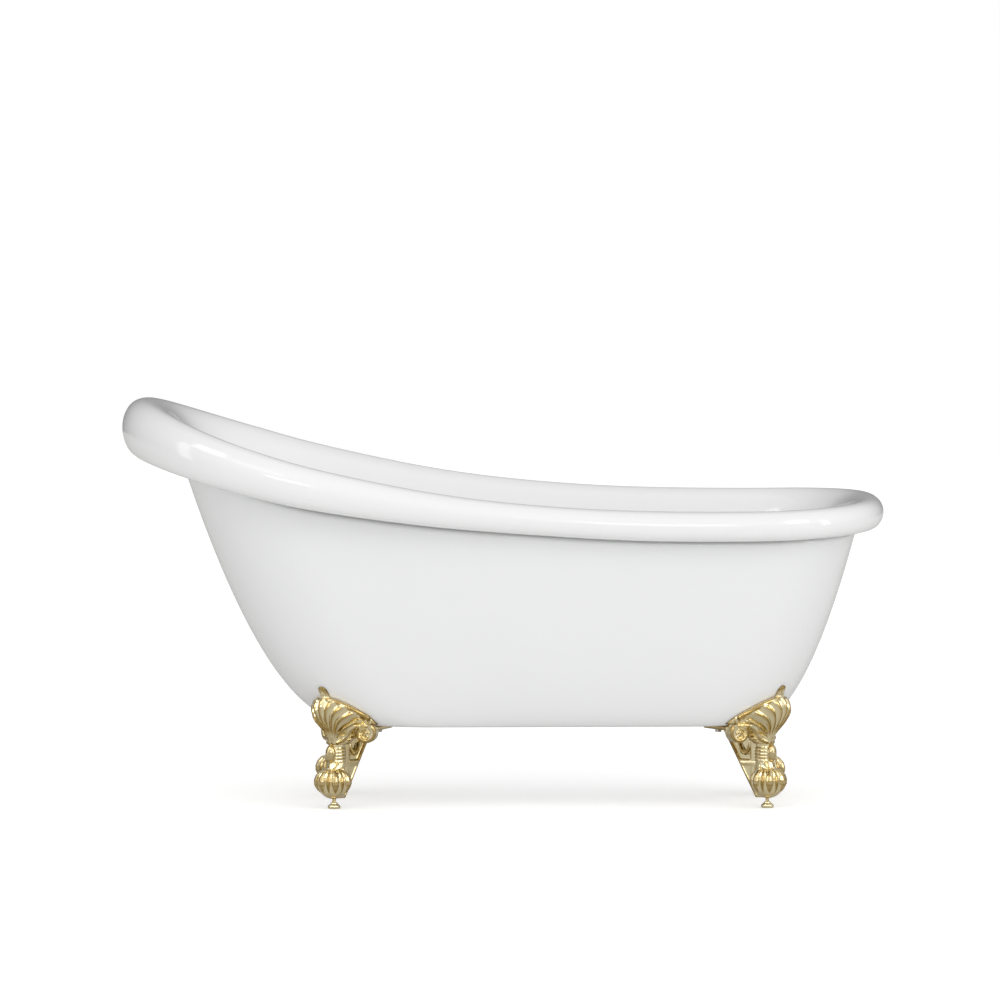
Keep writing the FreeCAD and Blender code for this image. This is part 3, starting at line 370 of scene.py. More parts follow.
def wall_ring(bottom, top, share):
    """Ring of a bowed wall that leaves the bottom flat and steepens upwards."""
    ring = bottom + (top - bottom) * share
    ring[:, 2] = bottom[:, 2] + (top[:, 2] - bottom[:, 2]) * share ** WALL_POWER
    return ring


def closed_spline(ring, count):
    """Smooth closed curve through a ring's points, as count points."""
    number = len(ring)
    corner = np.eye(number)
    system = 4 * corner + np.roll(corner, 1, axis=1) + np.roll(corner, -1, axis=1)
    bends = 6 * (np.roll(ring, 1, axis=0) - 2 * ring + np.roll(ring, -1, axis=0))
    bends = np.linalg.solve(system, bends)
    place = np.arange(count) * number / count
    first = place.astype(int)
    share = (place - first)[:, None]
    second = (first + 1) % number
    rest = 1 - share
    line = rest * ring[first] + share * ring[second]
    return line + ((rest ** 3 - rest) * bends[first] + (share ** 3 - share) * bends[second]) / 6


def lengthwise_spline(rings, steps):
    """Smooth surface through rings of equal size, with steps rows between each two."""
    rings = np.array(rings)
    count, columns, _ = rings.shape
    spans = np.linalg.norm(np.diff(rings, axis=0), axis=2).T ** 0.75
    system = np.zeros((columns, count, count))
    pull = np.zeros((columns, count, 3))
    system[:, 0, 0] = 1
    system[:, -1, -1] = 1
    slopes = np.diff(rings, axis=0).transpose(1, 0, 2) / spans[:, :, None]
    for i in range(1, count - 1):
        system[:, i, i - 1] = spans[:, i - 1]
        system[:, i, i] = 2 * (spans[:, i - 1] + spans[:, i])
        system[:, i, i + 1] = spans[:, i]
        pull[:, i] = 6 * (slopes[:, i] - slopes[:, i - 1])
    bends = np.linalg.solve(system, pull).transpose(1, 0, 2)
    rows = []
    for i in range(count - 1):
        square = (spans[:, i] ** 2)[:, None]
        number = steps[i]
        for step in range(number):
            share = step / number
            rest = 1 - share
            line = rest * rings[i] + share * rings[i + 1]
            bow = (rest ** 3 - rest) * bends[i] + (share ** 3 - share) * bends[i + 1]
            rows.append(line + bow * square / 6)
    rows.append(rings[-1])
    return np.array(rows)


def wall_rings(bottom, top, strips):
    """Rings of a wall, with one more near the bottom where it bends the most."""
    shares = [0.0, 0.5 / strips] + [i / strips for i in range(1, strips + 1)]
    return [wall_ring(bottom, top, share) for share in shares]


def skirt_rings():
    """The skirt's bottom edge and its top edge, under the rim's lip."""
    bottom = at_height(outline(*SKIRT_BOTTOM), SKIRT_BOTTOM_HEIGHT)
    top = rim_ring(-flared(LIP_RETURN), flared(ROLL_HEIGHT) + LIP_GAP)
    return bottom, top


def basin_rings():
    """The basin's floor edge and the top of its wall, inside the roll."""
    bottom = at_height(outline(*BASIN_FLOOR), BASIN_FLOOR_HEIGHT)
    return bottom, inner_roll_ring(1.0, 1.0)


def floor_rows(ring, center_x, radius, rows):
    """Flat rows from a round hole out to the ring that bounds a floor."""
    middle = np.array([center_x, 0.0, ring[0, 2]])
    spokes = ring - middle
    hole = middle + spokes * (radius / np.linalg.norm(spokes, axis=1, keepdims=True))
    return [hole + (ring - hole) * (i / rows) for i in range(rows)]


def overflow_place():
    """Matrix from the overflow's own frame, whose Z points into the basin, to the tub's in metres."""
    bottom, top = basin_rings()
    column = [wall_ring(bottom, top, i / WALL_STRIPS)[0] for i in range(WALL_STRIPS + 1)]
    for low, high in zip(column, column[1:]):
        if high[2] >= OVERFLOW_HEIGHT:
            break
    point = low + (high - low) * ((OVERFLOW_HEIGHT - low[2]) / (high[2] - low[2]))
    down = (low - high) / np.linalg.norm(low - high)
    inwards = Vector(np.cross((0.0, 1.0, 0.0), down))
    return Matrix.Translation(Vector(point) * MM) @ inwards.to_track_quat("Z", "Y").to_matrix().to_4x4()


# ---------------------------------------------------------------- meshes

def mesh_object(name, points, faces):
    """New object in the scene from points in millimetres and faces."""
    mesh = bpy.data.meshes.new(name)
    mesh.from_pydata((np.asarray(points, dtype=float) * MM).tolist(), [], np.asarray(faces).tolist())
    mesh.shade_smooth()
    piece = bpy.data.objects.new(name, mesh)
    bpy.context.scene.collection.objects.link(piece)
    return piece


def band_faces(rows, columns):
    """Quads between rows of closed rings."""
    row, column = np.meshgrid(np.arange(rows - 1), np.arange(columns), indexing="ij")
    beside = (column + 1) % columns
    quads = [row * columns + column, row * columns + beside]
    quads += [(row + 1) * columns + beside, (row + 1) * columns + column]
    return np.stack(quads, axis=-1).reshape(-1, 4)


def tidy_mesh(piece, distance=1e-6):
    """Merges doubled points and turns all faces outwards."""
    work = bmesh.new()
    work.from_mesh(piece.data)
    bmesh.ops.remove_doubles(work, verts=work.verts, dist=distance)
    bmesh.ops.recalc_face_normals(work, faces=work.faces)
    work.to_mesh(piece.data)
    work.free()


def turn_towards(piece, direction):
    """Turns an open surface so that its first face looks along a direction."""
    if piece.data.polygons[0].normal.dot(direction) < 0:
        piece.data.flip_normals()


def piece_volume(piece):
    """Signed volume; below zero when the faces point inwards."""
    work = bmesh.new()
    work.from_mesh(piece.data)
    volume = work.calc_volume(signed=True)
    work.free()
    return volume


def bake_modifiers(piece):
    """Turns the evaluated object into a plain mesh and removes its modifiers."""
    graph = bpy.context.evaluated_depsgraph_get()
    mesh = bpy.data.meshes.new_from_object(piece.evaluated_get(graph))
    piece.modifiers.clear()
    old = piece.data
    piece.data = mesh
    mesh.name = piece.name
    bpy.data.meshes.remove(old)


def rod(radius, low, high):
    """Outline of a plain rod, for turned()."""
    return [(0, low), (radius, low), (radius, high), (0, high)]


def turned(name, profile, segments=96, fillet=0.0, place=None):
    """Closed turned piece from (radius, height) points, with rounded corners."""
    points = rounded(profile, fillet) if fillet else profile
    angles = np.linspace(0, 2 * math.pi, segments, endpoint=False)
    rings = [
        np.column_stack([r * np.cos(angles), r * np.sin(angles), np.full(segments, h)])
        for r, h in points
    ]
    closed = points[0][0] > 0
    rows = rings + rings[:1] if closed else rings
    piece = mesh_object(name, np.concatenate(rows), band_faces(len(rows), segments))
    if place is not None:
        piece.data.transform(place)
    tidy_mesh(piece)
    return piece


def rounded(profile, radius, steps=5):
    """Profile with each inner corner replaced by a short arc."""
    points = [np.array(p, dtype=float) for p in profile]
    closed = points[0][0] > 0
    result = []
    for i, corner in enumerate(points):
        if not closed and i in (0, len(points) - 1):
            result.append(tuple(corner))
            continue
        before = points[i - 1]
        after = points[(i + 1) % len(points)]
        back = before - corner
        ahead = after - corner
        size = min(radius, 0.45 * np.linalg.norm(back), 0.45 * np.linalg.norm(ahead))
        start = corner + back / np.linalg.norm(back) * size
        end = corner + ahead / np.linalg.norm(ahead) * size
        for step in range(steps + 1):
            share = step / steps
            bend = (1 - share) ** 2 * start + 2 * share * (1 - share) * corner + share ** 2 * end
            result.append(tuple(bend))
    return result


def cut(piece, cutters, operation="DIFFERENCE"):
    """Cuts the cutters out of a piece, or joins them to it, and removes them."""
    for cutter in cutters:
        modifier = piece.modifiers.new("cut", "BOOLEAN")
        modifier.operation = operation
        modifier.solver = "EXACT"
        modifier.object = cutter
    bake_modifiers(piece)
    for cutter in cutters:
        bpy.data.objects.remove(cutter)
    piece.data.shade_smooth()


def finish_piece(piece, body, slot, node, finish=None):
    """Gives a piece the material of its slot, or of a finish, and its body, and hides the node it stands
    for.
    """
    piece.data.materials.clear()
    piece.data.materials.append(MATERIALS[finish or slot])
    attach(piece, body)
    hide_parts(node)


# ---------------------------------------------------------------- geometry node trees

def new_tree(name, inputs):
    """Geometry node tree with a geometry output and the named inputs."""
    tree = bpy.data.node_groups.new(name, "GeometryNodeTree")
    tree.interface.new_socket("Geometry", in_out="INPUT", socket_type="NodeSocketGeometry")
    for label, kind, value in inputs:
        socket = tree.interface.new_socket(label, in_out="INPUT", socket_type=kind)
        if value is not None:
            socket.default_value = value
    tree.interface.new_socket("Geometry", in_out="OUTPUT", socket_type="NodeSocketGeometry")
    return tree, tree.nodes.new("NodeGroupInput"), tree.nodes.new("NodeGroupOutput")


def end_tree(tree, socket, source, result):
    """Realize Instances, smooth shading and Set Material before the output."""
    nodes, links = tree.nodes, tree.links
    smooth = nodes.new("GeometryNodeSetShadeSmooth")
    real = nodes.new("GeometryNodeRealizeInstances")
    paint = nodes.new("GeometryNodeSetMaterial")
    links.new(socket, smooth.inputs["Geometry"])
    links.new(smooth.outputs["Geometry"], real.inputs["Geometry"])
    links.new(real.outputs["Geometry"], paint.inputs["Geometry"])
    links.new(source.outputs["Material"], paint.inputs["Material"])
    links.new(paint.outputs["Geometry"], result.inputs["Geometry"])


def apply_tree(piece, tree, values):
    """Runs a tree on a piece with values for its named inputs and bakes the result."""
    modifier = piece.modifiers.new(tree.name, "NODES")
    modifier.node_group = tree
    for item in tree.interface.items_tree:
        if item.item_type == "SOCKET" and item.in_out == "INPUT" and item.name in values:
            modifier[item.identifier] = values[item.name]
    bake_modifiers(piece)


def skin_tree():
    """Gives an open surface a wall: its moved copy, the rims between, all closed."""
    tree, source, result = new_tree("Moulded Skin", [
        ("Wall", "NodeSocketFloat", 0.005),
        ("Material", "NodeSocketMaterial", None),
    ])
    nodes, links = tree.nodes, tree.links
    back = nodes.new("ShaderNodeMath")
    back.operation = "MULTIPLY"
    back.inputs[1].default_value = -1
    links.new(source.outputs["Wall"], back.inputs[0])
    extrude = nodes.new("GeometryNodeExtrudeMesh")
    extrude.inputs["Individual"].default_value = False
    links.new(source.outputs["Geometry"], extrude.inputs["Mesh"])
    links.new(back.outputs[0], extrude.inputs["Offset Scale"])
    flip = nodes.new("GeometryNodeFlipFaces")
    links.new(extrude.outputs["Mesh"], flip.inputs["Mesh"])
    join = nodes.new("GeometryNodeJoinGeometry")
    links.new(flip.outputs["Mesh"], join.inputs["Geometry"])
    links.new(source.outputs["Geometry"], join.inputs["Geometry"])
    weld = nodes.new("GeometryNodeMergeByDistance")
    weld.inputs["Distance"].default_value = 1e-6
    links.new(join.outputs["Geometry"], weld.inputs["Geometry"])
    end_tree(tree, weld.outputs["Geometry"], source, result)
    return tree


def thread_tree():
    """Screw: the piece's own core with a ridge that winds round it from Start upwards."""
    tree, source, result = new_tree("Screw Thread", [
        ("Turns", "NodeSocketFloat", 40.0),
        ("Length", "NodeSocketFloat", 0.05),
        ("Radius", "NodeSocketFloat", 0.0037),
        ("Ridge", "NodeSocketFloat", 0.0005),
        ("Start", "NodeSocketVector", None),
        ("Material", "NodeSocketMaterial", None),
    ])
    nodes, links = tree.nodes, tree.links
    spiral = nodes.new("GeometryNodeCurveSpiral")
    spiral.inputs["Resolution"].default_value = 24
    links.new(source.outputs["Turns"], spiral.inputs["Rotations"])
    links.new(source.outputs["Radius"], spiral.inputs["Start Radius"])
    links.new(source.outputs["Radius"], spiral.inputs["End Radius"])
    links.new(source.outputs["Length"], spiral.inputs["Height"])
    profile = nodes.new("GeometryNodeCurvePrimitiveCircle")
    profile.inputs["Resolution"].default_value = 4
    links.new(source.outputs["Ridge"], profile.inputs["Radius"])
    sweep = nodes.new("GeometryNodeCurveToMesh")
    sweep.inputs["Fill Caps"].default_value = True
    links.new(spiral.outputs["Curve"], sweep.inputs["Curve"])
    links.new(profile.outputs["Curve"], sweep.inputs["Profile Curve"])
    move = nodes.new("GeometryNodeTransform")
    links.new(sweep.outputs["Mesh"], move.inputs["Geometry"])
    links.new(source.outputs["Start"], move.inputs["Translation"])
    join = nodes.new("GeometryNodeJoinGeometry")
    links.new(source.outputs["Geometry"], join.inputs["Geometry"])
    links.new(move.outputs["Geometry"], join.inputs["Geometry"])
    end_tree(tree, join.outputs["Geometry"], source, result)
    return tree


# ---------------------------------------------------------------- cast feet

# Distance where the grid is still empty.
NO_METAL = 20.0
# The relief is measured against a surface evened out so many times, over so many millimetres.
RELIEF_ROUNDS = 6
RELIEF_SPAN = 2.4
# The skirt is traced at so many heights, and used from so far behind a foot and so far aside.
LEVEL_POINTS = 900
LEVELS = 40
SKIRT_NEAR_FOOT = (-190, 160)


class Casting:
    """Signed distances on a grid in the foot's own frame; below zero is metal."""

    def __init__(self, low, high, step):
        self.low = np.array(low, dtype=np.float32)
        self.step = step
        self.axes = [np.arange(a, b, step, dtype=np.float32) for a, b in zip(low, high)]
        self.value = np.full([len(axis) for axis in self.axes], NO_METAL, dtype=np.float32)

    def window(self, low, high):
        """Index slices and coordinates of the part of the grid inside a box."""
        slices = []
        for axis, a, b in zip(self.axes, low, high):
            slices.append(slice(np.searchsorted(axis, a), np.searchsorted(axis, b)))
        x, y, z = [axis[part] for axis, part in zip(self.axes, slices)]
        return tuple(slices), x[:, None, None], y[None, :, None], z[None, None, :]

    def add(self, low, high, shape, blend=1.5):
        """Adds a shape inside a box that leaves room for its blend."""
        part, x, y, z = self.window(low, high)
        self.value[part] = smooth_min(self.value[part], shape(x, y, z), blend)

    def carve(self, low, high, shape, blend=0.8):
        """Takes a shape away inside a box that leaves room for its blend."""
        part, x, y, z = self.window(low, high)
        self.value[part] = -smooth_min(-self.value[part], shape(x, y, z), blend)

    def strand(self, path, radii, blend=1.5, carve=False):
        """Adds, or carves, a round strand along a path, thicker or thinner as radii say."""
        path = np.asarray(path, dtype=np.float32)
        margin = max(radii) + blend + 3 * self.step

        def shape(x, y, z):
            return strand_distance(x, y, z, path, radii)

        act = self.carve if carve else self.add
        act(path.min(axis=0) - margin, path.max(axis=0) + margin, shape, blend)

    def surface(self):
        """Points and quads where the distance is zero."""
        return net_surface(self.value, self.low, self.step)


def smooth_min(a, b, blend):
    """Metal that either of two distances has, with a rounded valley between them."""
    mix = np.clip(0.5 + 0.5 * (b - a) / blend, 0, 1)
    return b + (a - b) * mix - blend * mix * (1 - mix)


def strand_distance(x, y, z, path, radii):
    """Distance to a round strand whose radius changes evenly between the path's points."""
    nearest = None
    for start, end, first, last in zip(path, path[1:], radii, radii[1:]):
        run = end - start
        square = max(float(run @ run), 1e-6)
        share = ((x - start[0]) * run[0] + (y - start[1]) * run[1] + (z - start[2]) * run[2]) / square
        share = np.clip(share, 0, 1)
        gap = (x - start[0] - share * run[0]) ** 2
        gap = gap + (y - start[1] - share * run[1]) ** 2 + (z - start[2] - share * run[2]) ** 2
        distance = np.sqrt(gap) - (first + (last - first) * share)
        nearest = distance if nearest is None else np.minimum(nearest, distance)
    return nearest


def net_surface(value, low, step):
    """Surface net: one point in each cell that the surface crosses, one quad per crossed edge."""
    shape = np.array(value.shape)
    cells = shape - 1
    strides = np.array([cells[1] * cells[2], cells[2], 1])
    cell_ids, spots, quads = [], [], []
    for axis in range(3):
        first = [slice(None)] * 3
        second = [slice(None)] * 3
        first[axis] = slice(0, -1)
        second[axis] = slice(1, None)
        a, b = value[tuple(first)], value[tuple(second)]
        crossed = np.argwhere((a < 0) != (b < 0))
        others = [i for i in range(3) if i != axis]
        keep = np.all((crossed[:, others] > 0) & (crossed[:, others] < shape[others] - 1), axis=1)
        crossed = crossed[keep]
        va, vb = a[tuple(crossed.T)], b[tuple(crossed.T)]
        spot = crossed.astype(float)
        spot[:, axis] += va / (va - vb)
        around = []
        for u, v in ((0, 0), (1, 0), (1, 1), (0, 1)):
            cell = crossed.copy()
            cell[:, others[0]] -= u
            cell[:, others[1]] -= v
            around.append(cell @ strides)
        around = np.stack(around, axis=1)
        turn = (va < 0) == (axis != 1)
        around[turn] = around[turn][:, ::-1]
        quads.append(around)
        cell_ids.append(around.ravel())
        spots.append(np.repeat(spot, 4, axis=0))
    quads = np.concatenate(quads)
    used, index = np.unique(np.concatenate(cell_ids), return_inverse=True)
    spots = np.concatenate(spots)
    count = np.bincount(index)
    points = np.stack([np.bincount(index, spots[:, i]) / count for i in range(3)], axis=1)
    quads = np.searchsorted(used, quads)
    points = settle(points, quads, value)
    return points * step + low, quads


def net_pairs(quads):
    """Each net point with its next one along every quad."""
    return np.concatenate([quads[:, [i, (i + 1) % 4]] for i in range(4)])


def settle(points, quads, value):
    """Evens out the net's points and draws them back onto the surface, twice."""
    slopes = np.gradient(value)
    pairs = net_pairs(quads)
    for _ in range(2):
        number = np.bincount(pairs[:, 0], minlength=len(points))[:, None]
        middle = [np.bincount(pairs[:, 0], points[pairs[:, 1], i], len(points)) for i in range(3)]
        points = 0.5 * points + 0.5 * np.stack(middle, axis=1) / number
        height = sample(value, points)
        slope = np.stack([sample(part, points) for part in slopes], axis=1)
        size = np.maximum((slope ** 2).sum(axis=1), 0.05)
        pull = np.clip(height / size, -0.7, 0.7)
        points = points - slope * pull[:, None]
    return points


def sample(grid, points):
    """Values between grid points, by trilinear interpolation."""
    base = np.clip(points.astype(int), 0, np.array(grid.shape) - 2)
    share = points - base
    total = 0.0
    for corner in range(8):
        bits = np.array([corner >> 2 & 1, corner >> 1 & 1, corner & 1])
        weight = np.prod(np.where(bits, share, 1 - share), axis=1)
        total = total + weight * grid[tuple((base + bits).T)]
    return total


def foot_frame(end):
    """Matrix from the far foot's own frame to the tub's, in millimetres; its origin is the pad's axis."""
    low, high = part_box("leveller_pad_" + end + "_far")
    axis = (low + high) / (2 * MM)
    turn = Matrix.Rotation(math.pi / 2 - math.radians(FOOT_TURNS[end]), 4, "Z")
    return Matrix.Translation((axis.x, axis.y, 0.0)) @ turn


def corner_matrix(end, side):
    """Matrix from a foot's own frame to one corner of the tub, in millimetres."""
    return Matrix.Diagonal((1, SIDES[side], 1, 1)) @ foot_frame(end)


def bolt_drill(end, side, spread):
    """Rod through the skirt's bottom where a bolt of one foot passes."""
    spot = corner_matrix(end, side) @ Vector((-BOLT_BACK, spread * BOLT_SPREAD, SKIRT_BOTTOM_HEIGHT)) * MM
    return turned("drill", rod(BOLT_HOLE, -20, 20), 24, place=Matrix.Translation(spot))


def skirt_level(bottom, top, height):
    """The skirt's outline at one height, as close points."""
    share = ((height - bottom[:, 2]) / (top[:, 2] - bottom[:, 2])) ** (1 / WALL_POWER)
    ring = bottom + (top - bottom) * share[:, None]
    ring[:, 2] = height
    return closed_spline(ring, LEVEL_POINTS)


def skirt_reaches(end, across, heights):
    """How far outwards the skirt lies from the ball's axis, for each aside and height."""
    bottom, top = skirt_rings()
    inverse = np.array(foot_frame(end).inverted())
    levels = SKIRT_BOTTOM_HEIGHT + (heights[-1] - SKIRT_BOTTOM_HEIGHT) * np.linspace(0, 1, LEVELS) ** 2
    back, half_width = SKIRT_NEAR_FOOT
    table = []
    for level in levels:
        ring = skirt_level(bottom, top, level)
        local = ring @ inverse[:3, :3].T + inverse[:3, 3]
        local = local[(local[:, 0] > back) & (abs(local[:, 1]) < half_width)]
        local = local[local[:, 1].argsort()]
        table.append(np.interp(across, local[:, 1], local[:, 0]))
    table = np.array(table)
    reaches = [np.interp(np.maximum(heights, levels[0]), levels, column) for column in table.T]
    return np.array(reaches, dtype=np.float32)


def fan_top_edge(aside):
    """Height of the fan's top edge, falling from the leaf to the scrolls."""
    aside = np.abs(aside)
    return FAN_TOP - FAN_FALL * aside ** 2 - FAN_CORNER_FALL * np.maximum(aside - FAN_CORNER, 0) ** 2


def sculpt_foot(end, step, settings):
    """Ball-and-claw foot as one casting: points and quads in its own frame."""
    cast = Casting(FOOT_LOW, FOOT_HIGH, step)
    across, heights = cast.axes[1], cast.axes[2]
    reach = skirt_reaches(end, across, heights)
    beyond = (cast.axes[0][:, None, None] - reach[None]) / steepness(reach, step)[None]
    tub = np.maximum(beyond, SKIRT_BOTTOM_HEIGHT - heights[None, None, :])
    add_plate(cast, tub)
    add_web(cast)
    add_ankle(cast, settings)
    add_paw(cast)
    cast.axes[1] -= FAN_SHIFT[end]
    add_fan(cast, reach, settings)
    add_leaf(cast, reach)
    add_scrolls(cast)
    cast.axes[1] += FAN_SHIFT[end]
    cast.value = -smooth_min(-cast.value, tub - FOOT_GAP, 0.3)
    drill(cast)
    return cast.surface()


def steepness(front, step, limit=np.inf):
    """How much longer than flat a face is that stands front far out; it evens out distances."""
    slope_y, slope_z = np.gradient(front, step)
    return np.sqrt(1 + np.minimum(slope_y ** 2 + slope_z ** 2, limit))


def both(first, second, fillet):
    """Metal that two distances share, with a rounded edge."""
    return -smooth_min(-first, -second, fillet)


def add_plate(cast, tub):
    """Flange that hugs the tub's bottom, narrowing towards the bolts."""
    x, y, z = cast.axes[0][:, None, None], cast.axes[1][None, :, None], cast.axes[2][None, None, :]
    taper = (np.minimum(x, PLATE_SHOULDER) - PLATE_SHOULDER) * PLATE_TAPER
    side = (abs(y) - PLATE_HALF_WIDTH - taper) / 1.1
    plate = tub - PLATE
    for limit in (side, PLATE_BACK - x, z - fan_top_edge(y) + PLATE_BELOW_FAN, x - PLATE_FRONT):
        plate = both(plate, limit, 3.0)
    cast.value = smooth_min(cast.value, plate, 1.0)


def fan_front(aside):
    """How far out the fan's rim stands at a place aside; it curls back to the scroll."""
    aside = np.abs(aside)
    curl = FAN_CURL * np.maximum(aside - FAN_CURL_START, 0) ** 2
    return FAN_CROWN - FAN_BOW * (aside / FAN_BOW_SPAN) ** 2 - curl


def border_spot(aside, side):
    """Place on the centre line of the fan's border, on one side."""
    return fan_front(aside) - BORDER_BACK, side * aside, fan_top_edge(aside) - BORDER_DROP


def fan_face(aside, height):
    """The fan's face: how far out it stands, the share of the way to the rim, the ray's angle."""
    rise = FAN_TOP - FAN_ROOT
    angle = np.arctan2(aside, np.maximum(height - FAN_ROOT, 0.5))
    upright = angle < FAN_STRAIGHT_RAY
    steep = 1 / np.tan(np.clip(angle, FAN_STRAIGHT_RAY, 1.5))
    rim_aside = (np.sqrt(steep ** 2 + 4 * FAN_FALL * rise) - steep) / (2 * FAN_FALL)
    rim_aside = np.minimum(rim_aside, FAN_SIDE)
    span = np.where(upright, rise, rim_aside / np.sin(np.maximum(angle, FAN_STRAIGHT_RAY)))
    share = (np.hypot(aside, height - FAN_ROOT) - FAN_HUB) / np.maximum(span - FAN_HUB, 1)
    share = np.clip(share, 0, 1)
    hub = FAN_HUB_FRONT * np.cos(np.minimum(angle, 1.3)) - FAN_HUB_BACK
    rim = fan_front(np.where(upright, 0, rim_aside))
    middle = np.clip((FAN_BULGE_RAY - angle) / FAN_BULGE_FADE, 0, 1)
    bulge = FAN_BULGE * (3 - 2 * middle) * middle ** 2 * np.sin(math.pi * share ** 1.7)
    return hub + (rim - hub) * share ** 0.8 + bulge, share, angle


def add_fan(cast, reach, settings):
    """Acanthus fan: bowed ridges from the collar out to a smooth sloped border."""
    y = cast.axes[1][:, None]
    z = cast.axes[2][None, :]
    aside = np.abs(y) + 0 * z
    face, share, angle = fan_face(aside, z)
    front = np.maximum(face, reach + FAN_STAND_OFF)
    lean = steepness(front, cast.step, 6)
    # Ridges spread outwards, fade in beyond the hub and end just short of the rim.
    spread = 0.52 + 0.48 * share ** 0.8
    ridge = 0.5 + 0.5 * np.cos(2 * math.pi * settings.ridges * angle / spread / FAN_LAST_RAY)
    start = np.clip(share * 4 - 0.2, 0, 1)
    end = np.clip((0.985 - share) * 14, 0, 1)
    flute = settings.ridge_depth / MM * start * end * (ridge ** 0.7 - 0.85)
    outside = np.maximum(fan_bottom_edge(aside) - z, aside - FAN_SIDE)
    part, x, rows, heights = cast.window((-70, FOOT_LOW[1], 112), FOOT_HIGH)
    area = part[1:]
    fan = (x - front[area]) / lean[area] - flute[area]
    behind = np.minimum(front[area] - FAN_THICKNESS - x, FAN_BACK_HEIGHT - heights)
    top = heights - fan_top_edge(rows) + 1.5 - 0.1 * (fan_front(rows) - x)
    for limit in (behind, outside[area] + 0 * x, top):
        fan = both(fan, limit, 3.0)
    cast.value[part] = smooth_min(cast.value[part], fan, 1.2)
    for side in SIDES.values():
        path = [border_spot(v, side) for v in np.linspace(BORDER_INSET, FAN_SIDE - BORDER_INSET, 14)]
        cast.strand(path, [BORDER_RADIUS] * len(path), 1.0)


def fan_bottom_edge(aside):
    """Height of the fan's lower edge: round each scroll, then rising outwards."""
    inner = np.clip((SCROLL_ASIDE - aside) / SCROLL_NOTCH, 0, 1)
    notch = SCROLL_HEIGHT + SCROLL_NOTCH * np.sqrt(1 - inner ** 2)
    return np.where(inner < 1, notch, FAN_BOTTOM + np.maximum(aside - 15, 0) * FAN_BOTTOM_RISE)


def add_leaf(cast, reach):
    """Thumb-like leaf up the tub's corner, with a folded hollow."""
    y = cast.axes[1][:, None]
    z = cast.axes[2][None, :]
    tip = np.clip((z - LEAF_SHOULDER) / LEAF_TIP_RISE, 0, 1)
    width = LEAF_HALF_WIDTH * np.sqrt(1 - tip ** 2)
    across = np.clip(np.abs(y) / np.maximum(width, 0.4), 0, 1)
    middle = reach[np.abs(y[:, 0]).argmin()][None, :]
    thick = np.maximum(FAN_CROWN + LEAF_LEAN * (z - LEAF_ROOT) - middle, LEAF_THICKNESS)
    thick = thick * np.sqrt(1 - tip ** 2.5)
    crown = (1 - across ** 2.4) ** 0.5
    from_fold = np.hypot(y, (z - FOLD_HEIGHT) / FOLD_STRETCH) - FOLD_RADIUS
    fold = np.exp(-(from_fold / FOLD_WIDTH) ** 2) * (y < FOLD_SIDE)
    front = reach + np.where(across < 1, thick * crown - FOLD_DEPTH * fold, -5)
    part, x, _, _ = cast.window((-30, -20, 196), (FOOT_HIGH[0], 20, FOOT_HIGH[2]))
    area = part[1:]
    leaf = (x - front[area]) / steepness(front, cast.step, 9)[area]
    cast.value[part] = smooth_min(cast.value[part], leaf, 1.5)


def between(pair, share):
    """Value that share of the way from a pair's first value to its second."""
    return pair[0] + (pair[1] - pair[0]) * share


def add_scrolls(cast):
    """Spiral volute with a rosette at its heart at each end of the fan."""
    for side in SIDES.values():
        turn = math.radians(SCROLL_TURN) * side
        outwards = np.array([math.cos(turn), math.sin(turn), 0.0])
        across = np.array([-math.sin(turn), math.cos(turn), 0.0]) * side
        center = np.array([SCROLL_BACK, side * SCROLL_ASIDE, SCROLL_HEIGHT])

        def drum(x, y, z):
            dx, dy, dz = x - center[0], y - center[1], z - center[2]
            along = dx * outwards[0] + dy * outwards[1]
            p = dx * across[0] + dy * across[1]
            radius = np.sqrt(p ** 2 + dz ** 2)
            petals = ROSETTE_RISE * np.sqrt(np.clip(1 - (radius / ROSETTE_RADIUS) ** 2, 0, 1))
            petals = petals * (0.45 + 0.55 * np.abs(np.cos(2.5 * np.arctan2(dz, p))) ** 0.7)
            petals = petals + ROSETTE_HEART_RISE * np.clip(1 - (radius / ROSETTE_HEART) ** 2, 0, 1)
            faces = np.maximum(along - SCROLL_FRONT - petals, SCROLL_REAR - along)
            return both(radius - SCROLL_RADIUS, faces, 1.0)

        cast.add(center - 40, center + 40, drum, 1.2)
        path = [border_spot(FAN_SIDE - BORDER_INSET, side)]
        radii = [BORDER_RADIUS]
        for share in np.linspace(0, 1, SPIRAL_POINTS):
            angle = math.radians(SPIRAL_START - SPIRAL_TURN * share)
            radius = between(SPIRAL_RADIUS, share)
            spot = center + outwards * between(SPIRAL_FRONT, share)
            path.append(spot + across * radius * math.cos(angle) + (0, 0, radius * math.sin(angle)))
            radii.append(between(SPIRAL_STRAND, share))
        cast.strand(path, radii, 1.0)
        cast.strand([(x, side * aside, z) for x, aside, z in SCROLL_BAND], SCROLL_BAND_RADII, 1.0)


